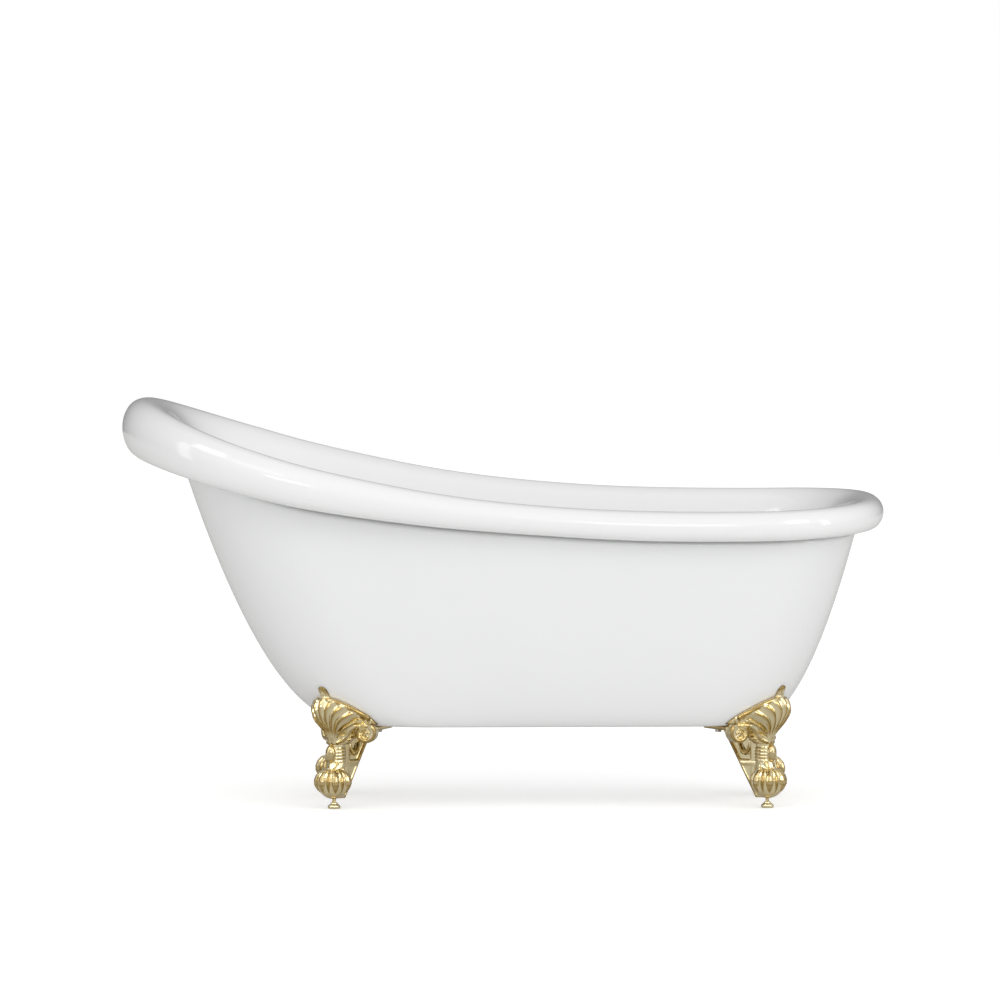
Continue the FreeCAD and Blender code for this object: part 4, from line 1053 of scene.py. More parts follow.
def add_ankle(cast, settings):
    """Barrel-shaped ankle: rings on both flanks, a smooth spur in front, a strip behind, a collar."""

    def barrel(x, y, z):
        radius = np.sqrt((x - ANKLE_AXIS) ** 2 + y ** 2)
        bulge = np.clip((z - ANKLE_BULGE_START) / ANKLE_BULGE_SPAN, 0, 1)
        size = ANKLE_RADIUS + ANKLE_BULGE * np.sin(math.pi * bulge)
        rings = np.abs(np.cos(math.pi * (z - RING_HEIGHT) / RING_PITCH)) ** 0.5
        size = size + settings.ring_depth / MM * (rings - 0.6)
        return both((radius - size) / 1.2, past(z, ANKLE_HEIGHTS), 1.0)

    def strip(x, y, z):
        return both(abs(y) - STRIP_HALF_WIDTH,
                    np.maximum(past(x, STRIP_DEPTHS), past(z, STRIP_HEIGHTS)), 3.0)

    def collar(x, y, z):
        radius = np.sqrt((x - COLLAR_AXIS) ** 2 + y ** 2)
        wave = COLLAR_WAVE * np.cos(COLLAR_WAVES * np.arctan2(y, x - COLLAR_AXIS))
        beyond = np.maximum(radius - DISC_RADIUS, 0)
        disc = np.sqrt(beyond ** 2 + ((z - DISC_HEIGHT) / DISC_FLATNESS) ** 2) - DISC_EDGE
        knot = np.sqrt((radius - KNOT_RADIUS - wave) ** 2 + (z - KNOT_HEIGHT) ** 2) - KNOT_STRAND
        return smooth_min(disc, knot, 1.0)

    def spur(x, y, z):
        wide, deep, tall = SPUR_SHAPE
        across = ((x - SPUR_PLACE[0]) / wide) ** 2 + (y / deep) ** 2
        return (np.sqrt(across + ((z - SPUR_PLACE[1]) / tall) ** 2) - SPUR_RADIUS) * 0.7

    cast.add((-42, -30, 66), (26, 30, 142), barrel, 1.0)
    cast.add((-44, -20, 52), (-10, 20, 156), strip, 1.5)
    cast.add((-42, -34, 118), (26, 34, 152), collar, 1.2)
    cast.add((-20, -26, 80), (36, 26, 138), spur, 1.5)


def past(value, pair):
    """How far a value lies outside the stretch between a pair."""
    return np.maximum(value - pair[1], pair[0] - value)


def add_paw(cast):
    """Ball held by clawed toes whose tendons start at the ankle."""

    def ball(x, y, z):
        return np.sqrt((x - BALL_AXIS) ** 2 + y ** 2 + (z - BALL_HEIGHT) ** 2) - BALL_RADIUS + 1

    def shin(x, y, z):
        share = np.clip((z - SHIN_TAPER_START) / SHIN_TAPER_SPAN, 0, 1)
        size = between(SHIN_RADII, share ** 0.9)
        radius = np.sqrt((x - ANKLE_AXIS * share) ** 2 + y ** 2)
        return both((radius - size) / 1.25, past(z, SHIN_HEIGHTS), 2.0)

    cast.add((-44, -44, 12), (44, 44, 92), ball, 1.0)
    cast.add((-46, -40, 46), (40, 40, 102), shin, 3.0)
    for around, strength in PAW_RAYS:
        path = [toe_spot(around, 66, -2) + TENDON_RUN]
        radii = [TENDON_RADIUS * strength]
        for elevation, lift, size in PAW_TOE:
            path.append(toe_spot(around, elevation, lift * strength))
            radii.append(size * strength)
        cast.strand(path, radii, 0.9)
    for around, strength in PAW_RAYS:
        for beside in (-PAW_GROOVE_ASIDE, PAW_GROOVE_ASIDE) if strength == 1.0 else ():
            path = []
            for elevation, lift in PAW_GROOVE:
                swing = beside * (0.4 + 0.6 * math.cos(math.radians(elevation)))
                path.append(toe_spot(around + swing, elevation, lift))
            cast.strand(path, PAW_GROOVE_RADII, 1.0, carve=True)


def toe_spot(around, elevation, lift):
    """Place over the ball: angle around, elevation, and distance beyond its surface."""
    turn, angle = math.radians(around), math.radians(elevation)
    radius = BALL_RADIUS + lift
    flat = radius * math.cos(angle)
    height = BALL_HEIGHT + radius * math.sin(angle)
    return np.array([BALL_AXIS + flat * math.cos(turn), flat * math.sin(turn), height])


def add_web(cast):
    """Flat inner strut with a straight slanted edge, a deep upper panel and a curled ornament."""

    def strut(x, z, inset):
        slant = ((WEB_TOP[0] - x) * WEB_RUN[1] - (z - WEB_TOP[1]) * WEB_RUN[0]) / math.hypot(*WEB_RUN)
        bottom, top = WEB_HEIGHTS
        sides = np.maximum(np.maximum(x - WEB_FRONT + inset, z - top), bottom + inset - z)
        return np.maximum(slant + inset, sides)

    def body(x, y, z):
        return both(strut(x, z, 0.0), abs(y) - WEB_HALF_WIDTH, 2.5)

    def panels(x, y, z):
        border, front, bottom, metal = UPPER_PANEL
        upper = np.maximum(strut(x, z, border), np.maximum(x - front, bottom - z))
        upper = both(upper, metal - abs(y), 0.8)
        border, front, top, metal = LOWER_PANEL
        lower = np.maximum(strut(x, z, border), np.maximum(x - front, z - top))
        return smooth_min(upper, both(lower, metal - abs(y), 0.5), 0.1)

    cast.add((FOOT_LOW[0], -24, 14), (4, 24, 172), body, 1.5)
    cast.carve((-126, -24, 18), (-10, 24, 170), panels, 0.8)
    for side in SIDES.values():
        cast.strand([(x, side * WEB_BAND_ASIDE, z) for x, z in WEB_BAND], WEB_BAND_RADII, 0.8)
        curl = [(x, side * (WEB_CURL_ASIDE + rise), z) for x, z, rise in WEB_CURL]
        cast.strand(curl, WEB_CURL_RADII, 0.8)


def drill(cast):
    """Bore for the levelling screw and holes for the two bolts."""

    def bore(x, y, z):
        return np.maximum(np.sqrt(x ** 2 + y ** 2) - SCREW_BORE, z - SCREW_BORE_TOP)

    cast.carve((-10, -10, FOOT_LOW[2]), (10, 10, SCREW_BORE_TOP + 12), bore, 0.4)
    for side in SIDES.values():
        spot = side * BOLT_SPREAD

        def hole(x, y, z):
            return np.sqrt((x + BOLT_BACK) ** 2 + (y - spot) ** 2) - BOLT_HOLE + 0 * z

        bottom, top = BOLT_HEIGHTS
        cast.carve((-BOLT_BACK - 10, spot - 10, bottom), (-BOLT_BACK + 10, spot + 10, top), hole, 0.4)


def relief(points, quads):
    """How far each point stands proud of its neighbours: 0 in grooves, 1 on crests."""
    pairs = net_pairs(quads)
    first, second = points[quads[:, 0]], points[quads[:, 2]]
    cross = np.cross(second - first, points[quads[:, 3]] - points[quads[:, 1]])
    normals = np.zeros_like(points)
    for i in range(4):
        for axis in range(3):
            normals[:, axis] += np.bincount(quads[:, i], cross[:, axis], len(points))
    normals /= np.maximum(np.linalg.norm(normals, axis=1, keepdims=True), 1e-9)
    number = np.maximum(np.bincount(pairs[:, 0], minlength=len(points)), 1)

    def around(values):
        return np.bincount(pairs[:, 0], values[pairs[:, 1]], len(points)) / number

    soft = points.copy()
    for _ in range(RELIEF_ROUNDS):
        soft = np.stack([around(soft[:, i]) for i in range(3)], axis=1)
    height = ((points - soft) * normals).sum(axis=1)
    for _ in range(2):
        height = around(height)
    return np.clip(0.5 + height / RELIEF_SPAN, 0, 1)


# ---------------------------------------------------------------- materials

MATERIALS = {}
# Painted shade over the casting's relief, multiplied into the gold: colour from the bottoms of its grooves
# (darkest and warmest) to its crests (none from halfway up).
GROOVE_SHADE_RAMP = ((0.16, (0.1, 0.075, 0.035)), (0.34, (0.56, 0.44, 0.24)), (0.5, (1.0, 1.0, 1.0)))
# By slot: name, colour, roughness, metallic, scale, fine scale, bump.
FINISHES = (
    ("steel_screw", ("zinc plated steel", (0.62, 0.62, 0.6), 0.3, 1.0, 90.0, 900.0, 0.08)),
    ("black_rubber", ("black rubber", (0.03, 0.03, 0.032), 0.6, 0.0, 50.0, 700.0, 0.2)),
    ("white_pipe", ("white moulded plastic", (0.82, 0.82, 0.8), 0.4, 0.0, 20.0, 500.0, 0.1)),
    ("grey_pipe", ("grey plastic pipe", (0.42, 0.43, 0.44), 0.42, 0.0, 20.0, 500.0, 0.1)),
    ("board", ("plain board", (0.55, 0.4, 0.24), 0.7, 0.0, 8.0, 220.0, 0.3)),
    ("block", ("sawn block", (0.6, 0.44, 0.26), 0.75, 0.0, 12.0, 260.0, 0.35)),
)


def new_material(name, color, roughness, metallic=0.0):
    """Principled material with plain values on its own sockets."""
    material = bpy.data.materials.new(name)
    material.use_nodes = True
    shader = material.node_tree.nodes["Principled BSDF"]
    shader.inputs["Base Color"].default_value = (*color, 1)
    shader.inputs["Roughness"].default_value = roughness
    shader.inputs["Metallic"].default_value = metallic
    return material, shader


def add_node(tree, kind, settings=None, **inputs):
    """New node with its own settings and plain values on its named inputs."""
    node = tree.nodes.new(kind)
    for key, value in (settings or {}).items():
        setattr(node, key, value)
    for key, value in inputs.items():
        node.inputs[key.replace("_", " ")].default_value = value
    return node


def set_ramp(node, stops):
    """Gives a colour ramp its stops, each a position and a colour, from low to high."""
    elements = node.color_ramp.elements
    while len(elements) < len(stops):
        elements.new(1.0)
    for element, (position, color) in zip(elements, stops):
        element.position = position
        element.color = (*color, 1)


def shader_group(name, inputs, outputs):
    """Shader node group with the named inputs and outputs."""
    group = bpy.data.node_groups.new(name, "ShaderNodeTree")
    for label, kind, value in inputs:
        socket = group.interface.new_socket(label, in_out="INPUT", socket_type=kind)
        socket.default_value = value
    for label, kind in outputs:
        group.interface.new_socket(label, in_out="OUTPUT", socket_type=kind)
    return group, group.nodes.new("NodeGroupInput"), group.nodes.new("NodeGroupOutput")


def mottle_group():
    """Soft variation of colour, roughness and height from layered noise."""
    group, source, result = shader_group(
        "Surface Mottle",
        [
            ("Color", "NodeSocketColor", (0.8, 0.8, 0.8, 1)),
            ("Second Color", "NodeSocketColor", (0.7, 0.7, 0.7, 1)),
            ("Scale", "NodeSocketFloat", 20.0),
            ("Fine Scale", "NodeSocketFloat", 300.0),
            ("Roughness", "NodeSocketFloat", 0.3),
            ("Roughness Spread", "NodeSocketFloat", 0.1),
        ],
        [("Color", "NodeSocketColor"), ("Roughness", "NodeSocketFloat"), ("Height", "NodeSocketFloat")],
    )
    links = group.links
    place = add_node(group, "ShaderNodeTexCoord")
    coarse = add_node(group, "ShaderNodeTexNoise", Detail=3.0)
    fine = add_node(group, "ShaderNodeTexNoise", Detail=2.0)
    for noise, scale in ((coarse, "Scale"), (fine, "Fine Scale")):
        links.new(place.outputs["Object"], noise.inputs["Vector"])
        links.new(source.outputs[scale], noise.inputs["Scale"])
    mix = add_node(group, "ShaderNodeMix", {"data_type": "RGBA"})
    links.new(coarse.outputs["Fac"], mix.inputs["Factor"])
    links.new(source.outputs["Color"], mix.inputs["A"])
    links.new(source.outputs["Second Color"], mix.inputs["B"])
    links.new(mix.outputs["Result"], result.inputs["Color"])
    centered = add_node(group, "ShaderNodeMath", {"operation": "SUBTRACT"})
    centered.inputs[1].default_value = 0.5
    links.new(coarse.outputs["Fac"], centered.inputs[0])
    rough = add_node(group, "ShaderNodeMath", {"operation": "MULTIPLY_ADD"})
    links.new(centered.outputs[0], rough.inputs[0])
    links.new(source.outputs["Roughness Spread"], rough.inputs[1])
    links.new(source.outputs["Roughness"], rough.inputs[2])
    links.new(rough.outputs[0], result.inputs["Roughness"])
    links.new(fine.outputs["Fac"], result.inputs["Height"])
    return group


def use_mottle(material, shader, group, bump, **values):
    """Places the mottle group in a material and feeds its shader."""
    tree = material.node_tree
    node = tree.nodes.new("ShaderNodeGroup")
    node.node_tree = group
    for key, value in values.items():
        node.inputs[key.replace("_", " ")].default_value = value
    tree.links.new(node.outputs["Color"], shader.inputs["Base Color"])
    tree.links.new(node.outputs["Roughness"], shader.inputs["Roughness"])
    raised = add_node(tree, "ShaderNodeBump", Strength=bump, Distance=0.001)
    tree.links.new(node.outputs["Height"], raised.inputs["Height"])
    tree.links.new(raised.outputs["Normal"], shader.inputs["Normal"])
    return node


def shade(color, factor):
    """A colour made lighter or darker, with full opacity."""
    return tuple(min(value * factor, 1.0) for value in color[:3]) + (1.0,)


def acrylic(name, color, group):
    """Gloss white acrylic with a faint ripple."""
    material, shader = new_material(name, color, 0.08)
    use_mottle(
        material, shader, group, 0.02,
        Color=shade(color, 1.0), Second_Color=shade(color, 0.985),
        Scale=3.0, Fine_Scale=60.0, Roughness=0.09, Roughness_Spread=0.03,
    )
    shader.inputs["IOR"].default_value = 1.49
    shader.inputs["Coat Weight"].default_value = 0.25
    shader.inputs["Coat Roughness"].default_value = 0.03
    return material


def cast_gold(settings, group):
    """Polished pale gold plate, with painted shade that makes the grooves of the casting warmer and darker.
    """
    color = tuple(settings.gold_color)
    material, shader = new_material("polished gold casting", color, settings.polish, 1.0)
    node = use_mottle(
        material, shader, group, 0.04,
        Color=shade(color, 1.0), Second_Color=shade(color, 0.93),
        Scale=60.0, Fine_Scale=900.0, Roughness=settings.polish, Roughness_Spread=0.06,
    )
    tree = material.node_tree
    # Painted shade: the relief attribute, through the groove shade ramp, darkens the base colour in the
    # casting's grooves.
    height = add_node(tree, "ShaderNodeAttribute", {"attribute_name": "relief"})
    groove_shade = add_node(tree, "ShaderNodeValToRGB")
    set_ramp(groove_shade, GROOVE_SHADE_RAMP)
    tree.links.new(height.outputs["Fac"], groove_shade.inputs["Fac"])
    mix = add_node(tree, "ShaderNodeMix", {"data_type": "RGBA", "blend_type": "MULTIPLY"})
    mix.inputs["Factor"].default_value = 1.0
    tree.links.new(node.outputs["Color"], mix.inputs["A"])
    tree.links.new(groove_shade.outputs["Color"], mix.inputs["B"])
    tree.links.new(mix.outputs["Result"], shader.inputs["Base Color"])
    return material


def make_materials(shell, feet):
    """All finishes, by the record's material slots."""
    group = mottle_group()
    made = {
        "white_acrylic": acrylic("gloss white acrylic", tuple(shell.basin_color), group),
        "white_acrylic_skirt": acrylic("gloss white skirt", tuple(shell.skirt_color), group),
        "gold_cast": cast_gold(feet, group),
    }
    turned_gold = ("turned gold", tuple(feet.gold_color), feet.polish, 1.0, 40.0, 1200.0, 0.03)
    for slot, (name, color, rough, metal, scale, fine, bump) in (("gold_turned", turned_gold), *FINISHES):
        material, shader = new_material(name, color, rough, metal)
        use_mottle(
            material, shader, group, bump,
            Color=shade(color, 1.0), Second_Color=shade(color, 0.86),
            Scale=scale, Fine_Scale=fine, Roughness=rough, Roughness_Spread=0.12,
        )
        made[slot] = material
    return made


# ---------------------------------------------------------------- settings

class BathtubShellSettings(PropertyGroup):
    """Sizes and colours of the basin and the skirt."""

    basin_color: FloatVectorProperty(
        name="Basin Color", description="Colour of the basin and its rolled rim",
        subtype="COLOR", size=3, min=0, max=1, default=(0.86, 0.865, 0.86))
    skirt_color: FloatVectorProperty(
        name="Skirt Color", description="Colour of the outer skirt",
        subtype="COLOR", size=3, min=0, max=1, default=(0.85, 0.855, 0.855))
    columns: IntProperty(
        name="Columns", description="Faces around the tub", default=600, min=60, max=1200)


class BathtubFeetSettings(PropertyGroup):
    """Detail and finish of the cast feet."""

    gold_color: FloatVectorProperty(
        name="Gold Color", description="Colour of the plated castings",
        subtype="COLOR", size=3, min=0, max=1, default=(0.92, 0.81, 0.52))
    polish: FloatProperty(
        name="Roughness", description="Roughness of the polished gold",
        subtype="FACTOR", default=0.14, min=0, max=1)
    detail: FloatProperty(
        name="Detail", description="Grid step of the sculpted castings",
        subtype="DISTANCE", unit="LENGTH", default=0.00125, min=0.0008, max=0.004)
    ridges: IntProperty(
        name="Ridges", description="Number of ridges in half of the fan", default=6, min=3, max=12)
    ridge_depth: FloatProperty(
        name="Ridge Depth", description="Depth of the grooves between the fan's lobes",
        subtype="DISTANCE", unit="LENGTH", default=0.0065, min=0, max=0.01)
    ring_depth: FloatProperty(
        name="Ring Depth", description="Relief of the rings around the ankle",
        subtype="DISTANCE", unit="LENGTH", default=0.0024, min=0, max=0.004)


class BathtubFittingSettings(PropertyGroup):
    """Levelling screws, waste and overflow."""

    thread_pitch: FloatProperty(
        name="Thread Pitch", description="Rise of the levelling screw's thread in one turn",
        subtype="DISTANCE", unit="LENGTH", default=0.00125, min=0.0005, max=0.003)
    edge_fillet: FloatProperty(
        name="Edge Fillet", description="Radius of the turned fittings' edges",
        subtype="DISTANCE", unit="LENGTH", default=0.0012, min=0, max=0.003)


class BathtubStageSettings(PropertyGroup):
    """Floor, light and camera."""

    floor_color: FloatVectorProperty(
        name="Floor Color", description="Colour of the studio floor",
        subtype="COLOR", size=3, min=0, max=1, default=(0.9, 0.9, 0.9))
    floor_glow: FloatProperty(
        name="Floor Glow", description="Light added to the floor in the camera's view",
        default=0.42, min=0, max=1)
    light: FloatProperty(
        name="Light", description="Strength of the studio lamps", default=1.0, min=0, max=4)
    elevation: FloatProperty(
        name="Elevation", description="Height of the camera above the horizon",
        subtype="ANGLE", default=math.radians(4.4))
    distance: FloatProperty(
        name="Camera Distance", description="Distance of the camera from the tub",
        subtype="DISTANCE", unit="LENGTH", default=40.0, min=3, max=60)


# ---------------------------------------------------------------- operators

class BATHTUB_OT_finishes(Operator):
    """Make the materials and paint the solids that stay in view"""

    bl_idname = "bathtub.finishes"
    bl_label = "Finishes"

    def execute(self, context):
        MATERIALS.update(make_materials(context.scene.bathtub_shell, context.scene.bathtub_feet))
        for part in frame["record"]["subparts"]:
            mesh = frame["nodes"][part["node"]].data
            mesh.materials.clear()
            mesh.materials.append(MATERIALS[part["material_slot"]])
        return {"FINISHED"}


class BATHTUB_OT_skirt(Operator):
    """Build the outer skirt as one smooth skin"""

    bl_idname = "bathtub.skirt"
    bl_label = "Skirt"

    def execute(self, context):
        columns = context.scene.bathtub_shell.columns
        bottom, top = skirt_rings()
        rings = [closed_spline(ring, columns) for ring in wall_rings(bottom, top, SKIRT_STRIPS)]
        wall = lengthwise_spline(rings, SKIRT_ROWS)
        floor = floor_rows(wall[0], DRAIN_X, SKIRT_DRAIN_HOLE, SKIRT_FLOOR_ROWS)
        rows = np.concatenate([np.array(floor), wall])
        piece = mesh_object("bathtub_skirt", rows.reshape(-1, 3), band_faces(len(rows), columns))
        tidy_mesh(piece)
        apply_tree(piece, skin_tree(), {"Wall": SKIRT_WALL * MM})
        cut(piece, [bolt_drill(*corner, spread) for corner in CORNERS for spread in SIDES.values()])
        finish_piece(piece, "tub", "white_acrylic_skirt", "skirt_shell")
        return {"FINISHED"}


class BATHTUB_OT_basin(Operator):
    """Build the basin and its rolled rim as one smooth skin with its two water holes"""

    bl_idname = "bathtub.basin"
    bl_label = "Basin"

    def execute(self, context):
        columns = context.scene.bathtub_shell.columns
        bottom, top = basin_rings()
        rings = wall_rings(bottom, top, WALL_STRIPS)
        rings += [inner_roll_ring(inward, down) for inward, down in INNER_ROLL]
        rings += [roll_ring(degrees) for degrees in ROLL_DEGREES]
        lip = rim_ring(-flared(LIP_RETURN) + 2 * SKIRT_WALL, flared(ROLL_HEIGHT))
        rings += [rings[-1] * 0.5 + lip * 0.5, lip]
        wall = lengthwise_spline([closed_spline(ring, columns) for ring in rings], BASIN_ROWS)
        floor = floor_rows(wall[0], DRAIN_X, DRAIN_HOLE, BASIN_FLOOR_ROWS)
        low, high = (np.array(corner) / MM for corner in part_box("basin_shell"))
        rows = np.clip(np.concatenate([np.array(floor), wall]), low, high)
        piece = mesh_object("bathtub_basin", rows.reshape(-1, 3), band_faces(len(rows), columns))
        turn_towards(piece, Vector((0, 0, 1)))
        apply_tree(piece, skin_tree(), {"Wall": BASIN_WALL * MM})
        place = overflow_place()
        seat = [(0, -SEAT_BACK), (OVERFLOW_SEAT, -SEAT_BACK), (OVERFLOW_SEAT, SEAT_FRONT - SEAT_BEVEL)]
        seat += [(OVERFLOW_SEAT - SEAT_BEVEL, SEAT_FRONT), (0, SEAT_FRONT)]
        cut(piece, [turned("seat", seat, 96, place=place)], "UNION")
        cut(piece, [turned("hole", rod(OVERFLOW_HOLE, -30, 30), 64, place=place)])
        finish_piece(piece, "tub", "white_acrylic", "basin_shell")
        return {"FINISHED"}


class BATHTUB_OT_feet(Operator):
    """Sculpt the four ball-and-claw feet as polished castings"""

    bl_idname = "bathtub.feet"
    bl_label = "Feet"

    def execute(self, context):
        settings = context.scene.bathtub_feet
        step = settings.detail / MM
        for end in FOOT_TURNS:
            points, quads = sculpt_foot(end, step, settings)
            height = relief(points, quads)
            for side in SIDES:
                name = "_".join(("foot", end, side))
                faces = quads if side == "far" else quads[:, ::-1]
                piece = mesh_object("bathtub_" + name, points, faces)
                # The relief attribute masks the painted shade in the gold casting's grooves.
                attribute = piece.data.attributes.new("relief", "FLOAT", "POINT")
                attribute.data.foreach_set("value", height)
                matrix = corner_matrix(end, side)
                matrix.translation *= MM
                piece.data.transform(matrix)
                if piece_volume(piece) < 0:
                    piece.data.flip_normals()
                finish_piece(piece, "tub", "gold_cast", name)
        return {"FINISHED"}


class BATHTUB_OT_levellers(Operator):
    """Turn the levelling pads and cut the threads of their screws"""

    bl_idname = "bathtub.levellers"
    bl_label = "Levelling Pads And Screws"

    def execute(self, context):
        settings = context.scene.bathtub_fittings
        tree = thread_tree()
        fillet = settings.edge_fillet / MM
        for end, side in CORNERS:
            corner = "_".join((end, side))
            spot = corner_matrix(end, side).translation * MM
            place = Matrix.Translation(spot)
            piece = turned("bathtub_leveller_pad_" + corner, PAD_PROFILE, 72, fillet, place)
            finish_piece(piece, "pad_" + corner, "gold_turned", "leveller_pad_" + corner)
            piece = turned("bathtub_leveller_screw_" + corner, SCREW_PROFILE, 24, 0, place)
            apply_tree(piece, tree, {
                "Turns": THREAD_LENGTH * MM / settings.thread_pitch,
                "Length": THREAD_LENGTH * MM,
                "Radius": THREAD_RADIUS * MM,
                "Ridge": THREAD_RIDGE * MM,
                "Start": (spot.x, spot.y, THREAD_BOTTOM * MM),
            })
            finish_piece(piece, "screw_" + corner, "steel_screw", "leveller_screw_" + corner, "gold_turned")
        return {"FINISHED"}


class BATHTUB_OT_waste(Operator):
    """Turn the cap of the waste's stopper"""

    bl_idname = "bathtub.waste"
    bl_label = "Waste"

    def execute(self, context):
        fillet = context.scene.bathtub_fittings.edge_fillet / MM
        cap = [(radius, CAP_BASE + height) for radius, height in CAP_PROFILE]
        place = Matrix.Translation((DRAIN_X * MM, 0, 0))
        piece = turned("bathtub_stopper_cap", cap, 128, fillet, place)
        finish_piece(piece, "stopper", "gold_turned", "stopper_cap")
        return {"FINISHED"}


class BATHTUB_OT_overflow(Operator):
    """Turn the overflow's domed cover"""

    bl_idname = "bathtub.overflow"
    bl_label = "Overflow"

    def execute(self, context):
        fillet = context.scene.bathtub_fittings.edge_fillet / MM
        dome = [(radius, SEAT_FRONT + height) for radius, height in DOME_PROFILE]
        piece = turned("bathtub_overflow_cover", dome, 128, fillet, overflow_place())
        finish_piece(piece, "tub", "gold_turned", "overflow_cover")
        return {"FINISHED"}


class BATHTUB_OT_stage(Operator):
    """Lay the floor, hang the lamps and set the camera"""

    bl_idname = "bathtub.stage"
    bl_label = "Stage"

    def execute(self, context):
        settings = context.scene.bathtub_stage
        make_world(context.scene)
        make_floor(settings)
        make_lamps(settings)
        make_camera(context.scene, settings)
        return {"FINISHED"}


# ---------------------------------------------------------------- stage

# Studio seen in reflections: middle of each box (azimuth from the camera's side, elevation),
# half size in degrees, soft edge in degrees, brightness added.
BOXES = (
    ((-4.0, 17.0), (9.0, 2.2), 2.0, 6.0),
    ((38.0, 34.0), (10.0, 7.0), 4.0, 3.5),
    ((-52.0, 48.0), (14.0, 8.0), 5.0, 3.0),
    ((66.0, 6.0), (3.0, 20.0), 3.0, 3.0),
    ((-75.0, 10.0), (4.0, 26.0), 4.0, 2.0),
)


def math_node(tree, operation, *values):
    """Math node whose inputs are sockets or plain numbers; gives its output socket."""
    node = add_node(tree, "ShaderNodeMath", {"operation": operation})
    for socket, value in zip(node.inputs, values):
        if isinstance(value, (int, float)):
            socket.default_value = value
        else:
            tree.links.new(value, socket)
    return node.outputs[0]


def box_level(tree, azimuth, elevation, box):
    """Brightness of one soft-edged box of light in the direction given by two angles."""
    (turn, height), (wide, high), edge, power = box
    level = power
    for angle, middle, half in ((azimuth, turn, wide), (elevation, height, high)):
        away = math_node(tree, "ABSOLUTE", math_node(tree, "SUBTRACT", angle, middle))
        fade = math_node(tree, "DIVIDE", math_node(tree, "SUBTRACT", half + edge, away), edge)
        fade = math_node(tree, "MINIMUM", math_node(tree, "MAXIMUM", fade, 0.0), 1.0)
        level = math_node(tree, "MULTIPLY", fade, level)
    return level


# Brightness of the studio by direction, from straight down (0) to straight up (1).
STUDIO_RAMP = (
    (0.0, 0.5), (0.30, 0.7), (0.46, 0.66), (0.50, 0.58), (0.55, 0.62), (0.66, 0.9), (0.8, 1.1), (1.0, 1.2),
)
# Light from all round: its level, and what is added towards the right and towards the camera.
MIRROR_LIGHT = (0.35, 0.15, 0.75)
EVEN_LIGHT = (0.98, 0.2, 0.5)
# Share of the even light at the horizon, and what is added straight up or down.
EVEN_FALL = (1.14, -0.58)


def sky_light(tree, light, across, ahead):
    """Level of light in a direction, from its parts across and ahead."""
    level, right, front = light
    level = math_node(tree, "MULTIPLY_ADD", ahead, front, level)
    return math_node(tree, "MULTIPLY_ADD", across, right, level)


def make_world(scene):
    """White for the camera; a studio with boxes and dark flanks in reflections; else even light."""
    world = bpy.data.worlds.new("studio")
    scene.world = world
    world.use_nodes = True
    tree = world.node_tree
    tree.nodes.clear()
    links = tree.links
    output = tree.nodes.new("ShaderNodeOutputWorld")
    way = tree.nodes.new("ShaderNodeTexCoord")
    split = tree.nodes.new("ShaderNodeSeparateXYZ")
    links.new(way.outputs["Generated"], split.inputs["Vector"])
    x, y, z = split.outputs
    front = math_node(tree, "MULTIPLY", y, -1.0)
    azimuth = math_node(tree, "MULTIPLY", math_node(tree, "ARCTAN2", x, front), 180 / math.pi)
    elevation = math_node(tree, "MULTIPLY", math_node(tree, "ARCSINE", z), 180 / math.pi)
    height = add_node(tree, "ShaderNodeValToRGB")
    set_ramp(height, [(position, (value,) * 3) for position, value in STUDIO_RAMP])
    links.new(math_node(tree, "MULTIPLY_ADD", z, 0.5, 0.5), height.inputs["Fac"])
    facing = math_node(tree, "MULTIPLY_ADD", front, 0.5, 0.5)
    flank = sky_light(tree, MIRROR_LIGHT, x, facing)
    level = math_node(tree, "MULTIPLY", height.outputs["Color"], flank)
    for box in BOXES:
        level = math_node(tree, "ADD", level, box_level(tree, azimuth, elevation, box))
    base, steep = EVEN_FALL
    fall = math_node(tree, "MULTIPLY_ADD", math_node(tree, "ABSOLUTE", z), steep, base)
    lights = []
    for strength in (math_node(tree, "MULTIPLY", sky_light(tree, EVEN_LIGHT, x, front), fall), level, None):
        light = add_node(tree, "ShaderNodeBackground", Color=(1, 1, 1, 1))
        if strength is not None:
            links.new(strength, light.inputs["Strength"])
        lights.append(light.outputs[0])
    even, mirror, white = lights
    path = tree.nodes.new("ShaderNodeLightPath")
    seen = mix_shaders(tree, path.outputs["Is Glossy Ray"], even, mirror)
    seen = mix_shaders(tree, path.outputs["Is Camera Ray"], seen, white)
    links.new(seen, output.inputs["Surface"])


def mix_shaders(tree, factor, first, second):
    """Shader that goes from first to second with a factor."""
    mix = tree.nodes.new("ShaderNodeMixShader")
    for socket, value in zip(mix.inputs, (factor, first, second)):
        tree.links.new(value, socket)
    return mix.outputs[0]


# Floor: a disc with a small hole, just under the pads, and its colour in reflections.
FLOOR_RADII = (1.0, 9000.0)
FLOOR_SEGMENTS = 96
FLOOR_DROP = 0.4
FLOOR_REFLECTED = (0.72, 0.71, 0.69, 1)


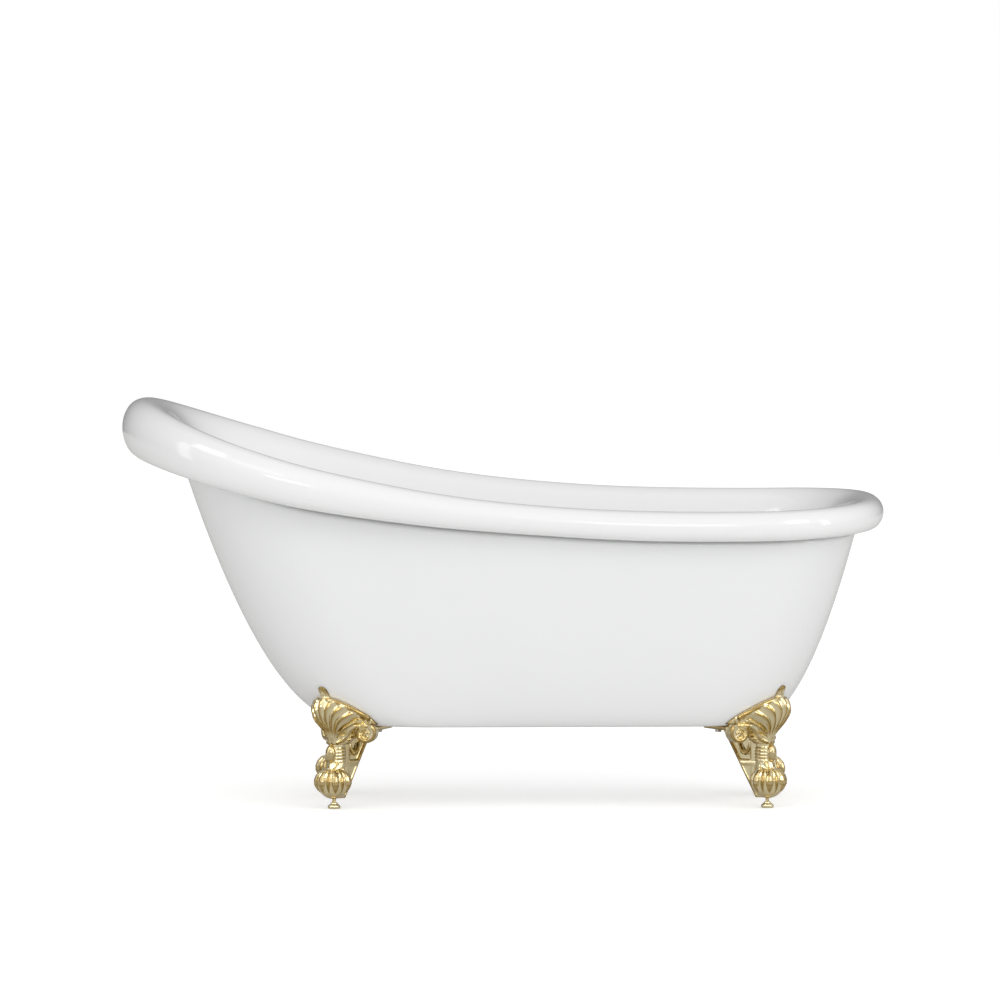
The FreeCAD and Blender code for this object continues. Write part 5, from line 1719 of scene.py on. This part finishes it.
def make_floor(settings):
    """Round pale floor: white to the camera apart from the shadow, darker in reflections."""
    angles = np.linspace(0, 2 * math.pi, FLOOR_SEGMENTS, endpoint=False)
    rings = [np.column_stack([r * np.cos(angles), r * np.sin(angles), 0 * angles]) for r in FLOOR_RADII]
    floor = mesh_object("floor", np.concatenate(rings), band_faces(2, FLOOR_SEGMENTS))
    floor.data.transform(Matrix.Translation((0, 0, -FLOOR_DROP * MM)))
    turn_towards(floor, Vector((0, 0, 1)))
    material, shader = new_material("studio floor", tuple(settings.floor_color), 0.9)
    shader.inputs["Specular IOR Level"].default_value = 0.0
    tree = material.node_tree
    path = tree.nodes.new("ShaderNodeLightPath")
    glow = tree.nodes.new("ShaderNodeEmission")
    strength = math_node(tree, "MULTIPLY", path.outputs["Is Camera Ray"], settings.floor_glow)
    tree.links.new(strength, glow.inputs["Strength"])
    lit = tree.nodes.new("ShaderNodeAddShader")
    tree.links.new(shader.outputs[0], lit.inputs[0])
    tree.links.new(glow.outputs[0], lit.inputs[1])
    dim = add_node(tree, "ShaderNodeBsdfDiffuse", Color=FLOOR_REFLECTED)
    seen = mix_shaders(tree, path.outputs["Is Glossy Ray"], lit.outputs[0], dim.outputs[0])
    tree.links.new(seen, tree.nodes["Material Output"].inputs["Surface"])
    floor.data.materials.append(material)


# Lamps: name, place, aim, size and power, in metres and watts.
LAMPS = (
    ("key", (-1.2, -3.4, 3.2), (0.0, 0.0, 0.45), (2.0, 1.0), 8.0),
    ("fill", (2.6, -2.8, 2.2), (0.1, 0.0, 0.45), (1.2, 1.2), 5.5),
    ("top", (0.0, 0.4, 3.6), (0.0, 0.0, 0.5), (3.0, 1.2), 3.0),
)


def make_lamps(settings):
    """Soft area lamps around the camera's side of the tub and above it."""
    for name, place, aim, size, power in LAMPS:
        lamp = bpy.data.lights.new(name, "AREA")
        lamp.shape = "RECTANGLE"
        lamp.size, lamp.size_y = size
        lamp.energy = power * settings.light
        holder = bpy.data.objects.new(name, lamp)
        holder.location = place
        holder.rotation_euler = (Vector(aim) - Vector(place)).to_track_quat("-Z", "Y").to_euler()
        bpy.context.scene.collection.objects.link(holder)


# Camera: width and middle of what it sees, in metres; its sensor in millimetres.
VIEW_WIDTH = 1.971
VIEW_CENTER = (-0.0059, 0.0, 0.5956)
SENSOR = 36.0
CLIP_END = 100.0


def make_camera(scene, settings):
    """Long lens, looking along +Y from slightly above."""
    data = bpy.data.cameras.new("camera")
    data.sensor_width = SENSOR
    data.lens = SENSOR * settings.distance / VIEW_WIDTH
    data.clip_end = CLIP_END
    holder = bpy.data.objects.new("camera", data)
    back = Vector((0, -math.cos(settings.elevation), math.sin(settings.elevation)))
    holder.location = Vector(VIEW_CENTER) + back * settings.distance
    holder.rotation_euler = (math.pi / 2 - settings.elevation, 0, 0)
    scene.collection.objects.link(holder)
    scene.camera = holder
    scene.view_settings.view_transform = "Standard"


# ---------------------------------------------------------------- panel and registration

class BATHTUB_PT_panel(Panel):
    """Lists the bathtub's pieces and their settings"""

    bl_label = "Bathtub"
    bl_idname = "BATHTUB_PT_panel"
    bl_space_type = "VIEW_3D"
    bl_region_type = "UI"
    bl_category = "Bathtub"

    def draw(self, context):
        for operator in OPERATORS:
            self.layout.operator(operator.bl_idname)
        for name, group in SETTINGS.items():
            column = self.layout.column(heading=name)
            settings = getattr(context.scene, name)
            for key in group.__annotations__:
                column.prop(settings, key)


SETTINGS = {
    "bathtub_shell": BathtubShellSettings,
    "bathtub_feet": BathtubFeetSettings,
    "bathtub_fittings": BathtubFittingSettings,
    "bathtub_stage": BathtubStageSettings,
}
OPERATORS = (
    BATHTUB_OT_finishes,
    BATHTUB_OT_skirt,
    BATHTUB_OT_basin,
    BATHTUB_OT_feet,
    BATHTUB_OT_levellers,
    BATHTUB_OT_waste,
    BATHTUB_OT_overflow,
    BATHTUB_OT_stage,
)


def register():
    for item in (*SETTINGS.values(), *OPERATORS, BATHTUB_PT_panel):
        bpy.utils.register_class(item)
    for name, group in SETTINGS.items():
        setattr(bpy.types.Scene, name, PointerProperty(type=group))


def unregister():
    for name in SETTINGS:
        delattr(bpy.types.Scene, name)
    for item in (BATHTUB_PT_panel, *reversed(OPERATORS), *reversed(SETTINGS.values())):
        bpy.utils.unregister_class(item)


def main():
    register()
    for operator in OPERATORS:
        category, name = operator.bl_idname.split(".")
        getattr(getattr(bpy.ops, category), name)()


if __name__ == "__main__":
    main()
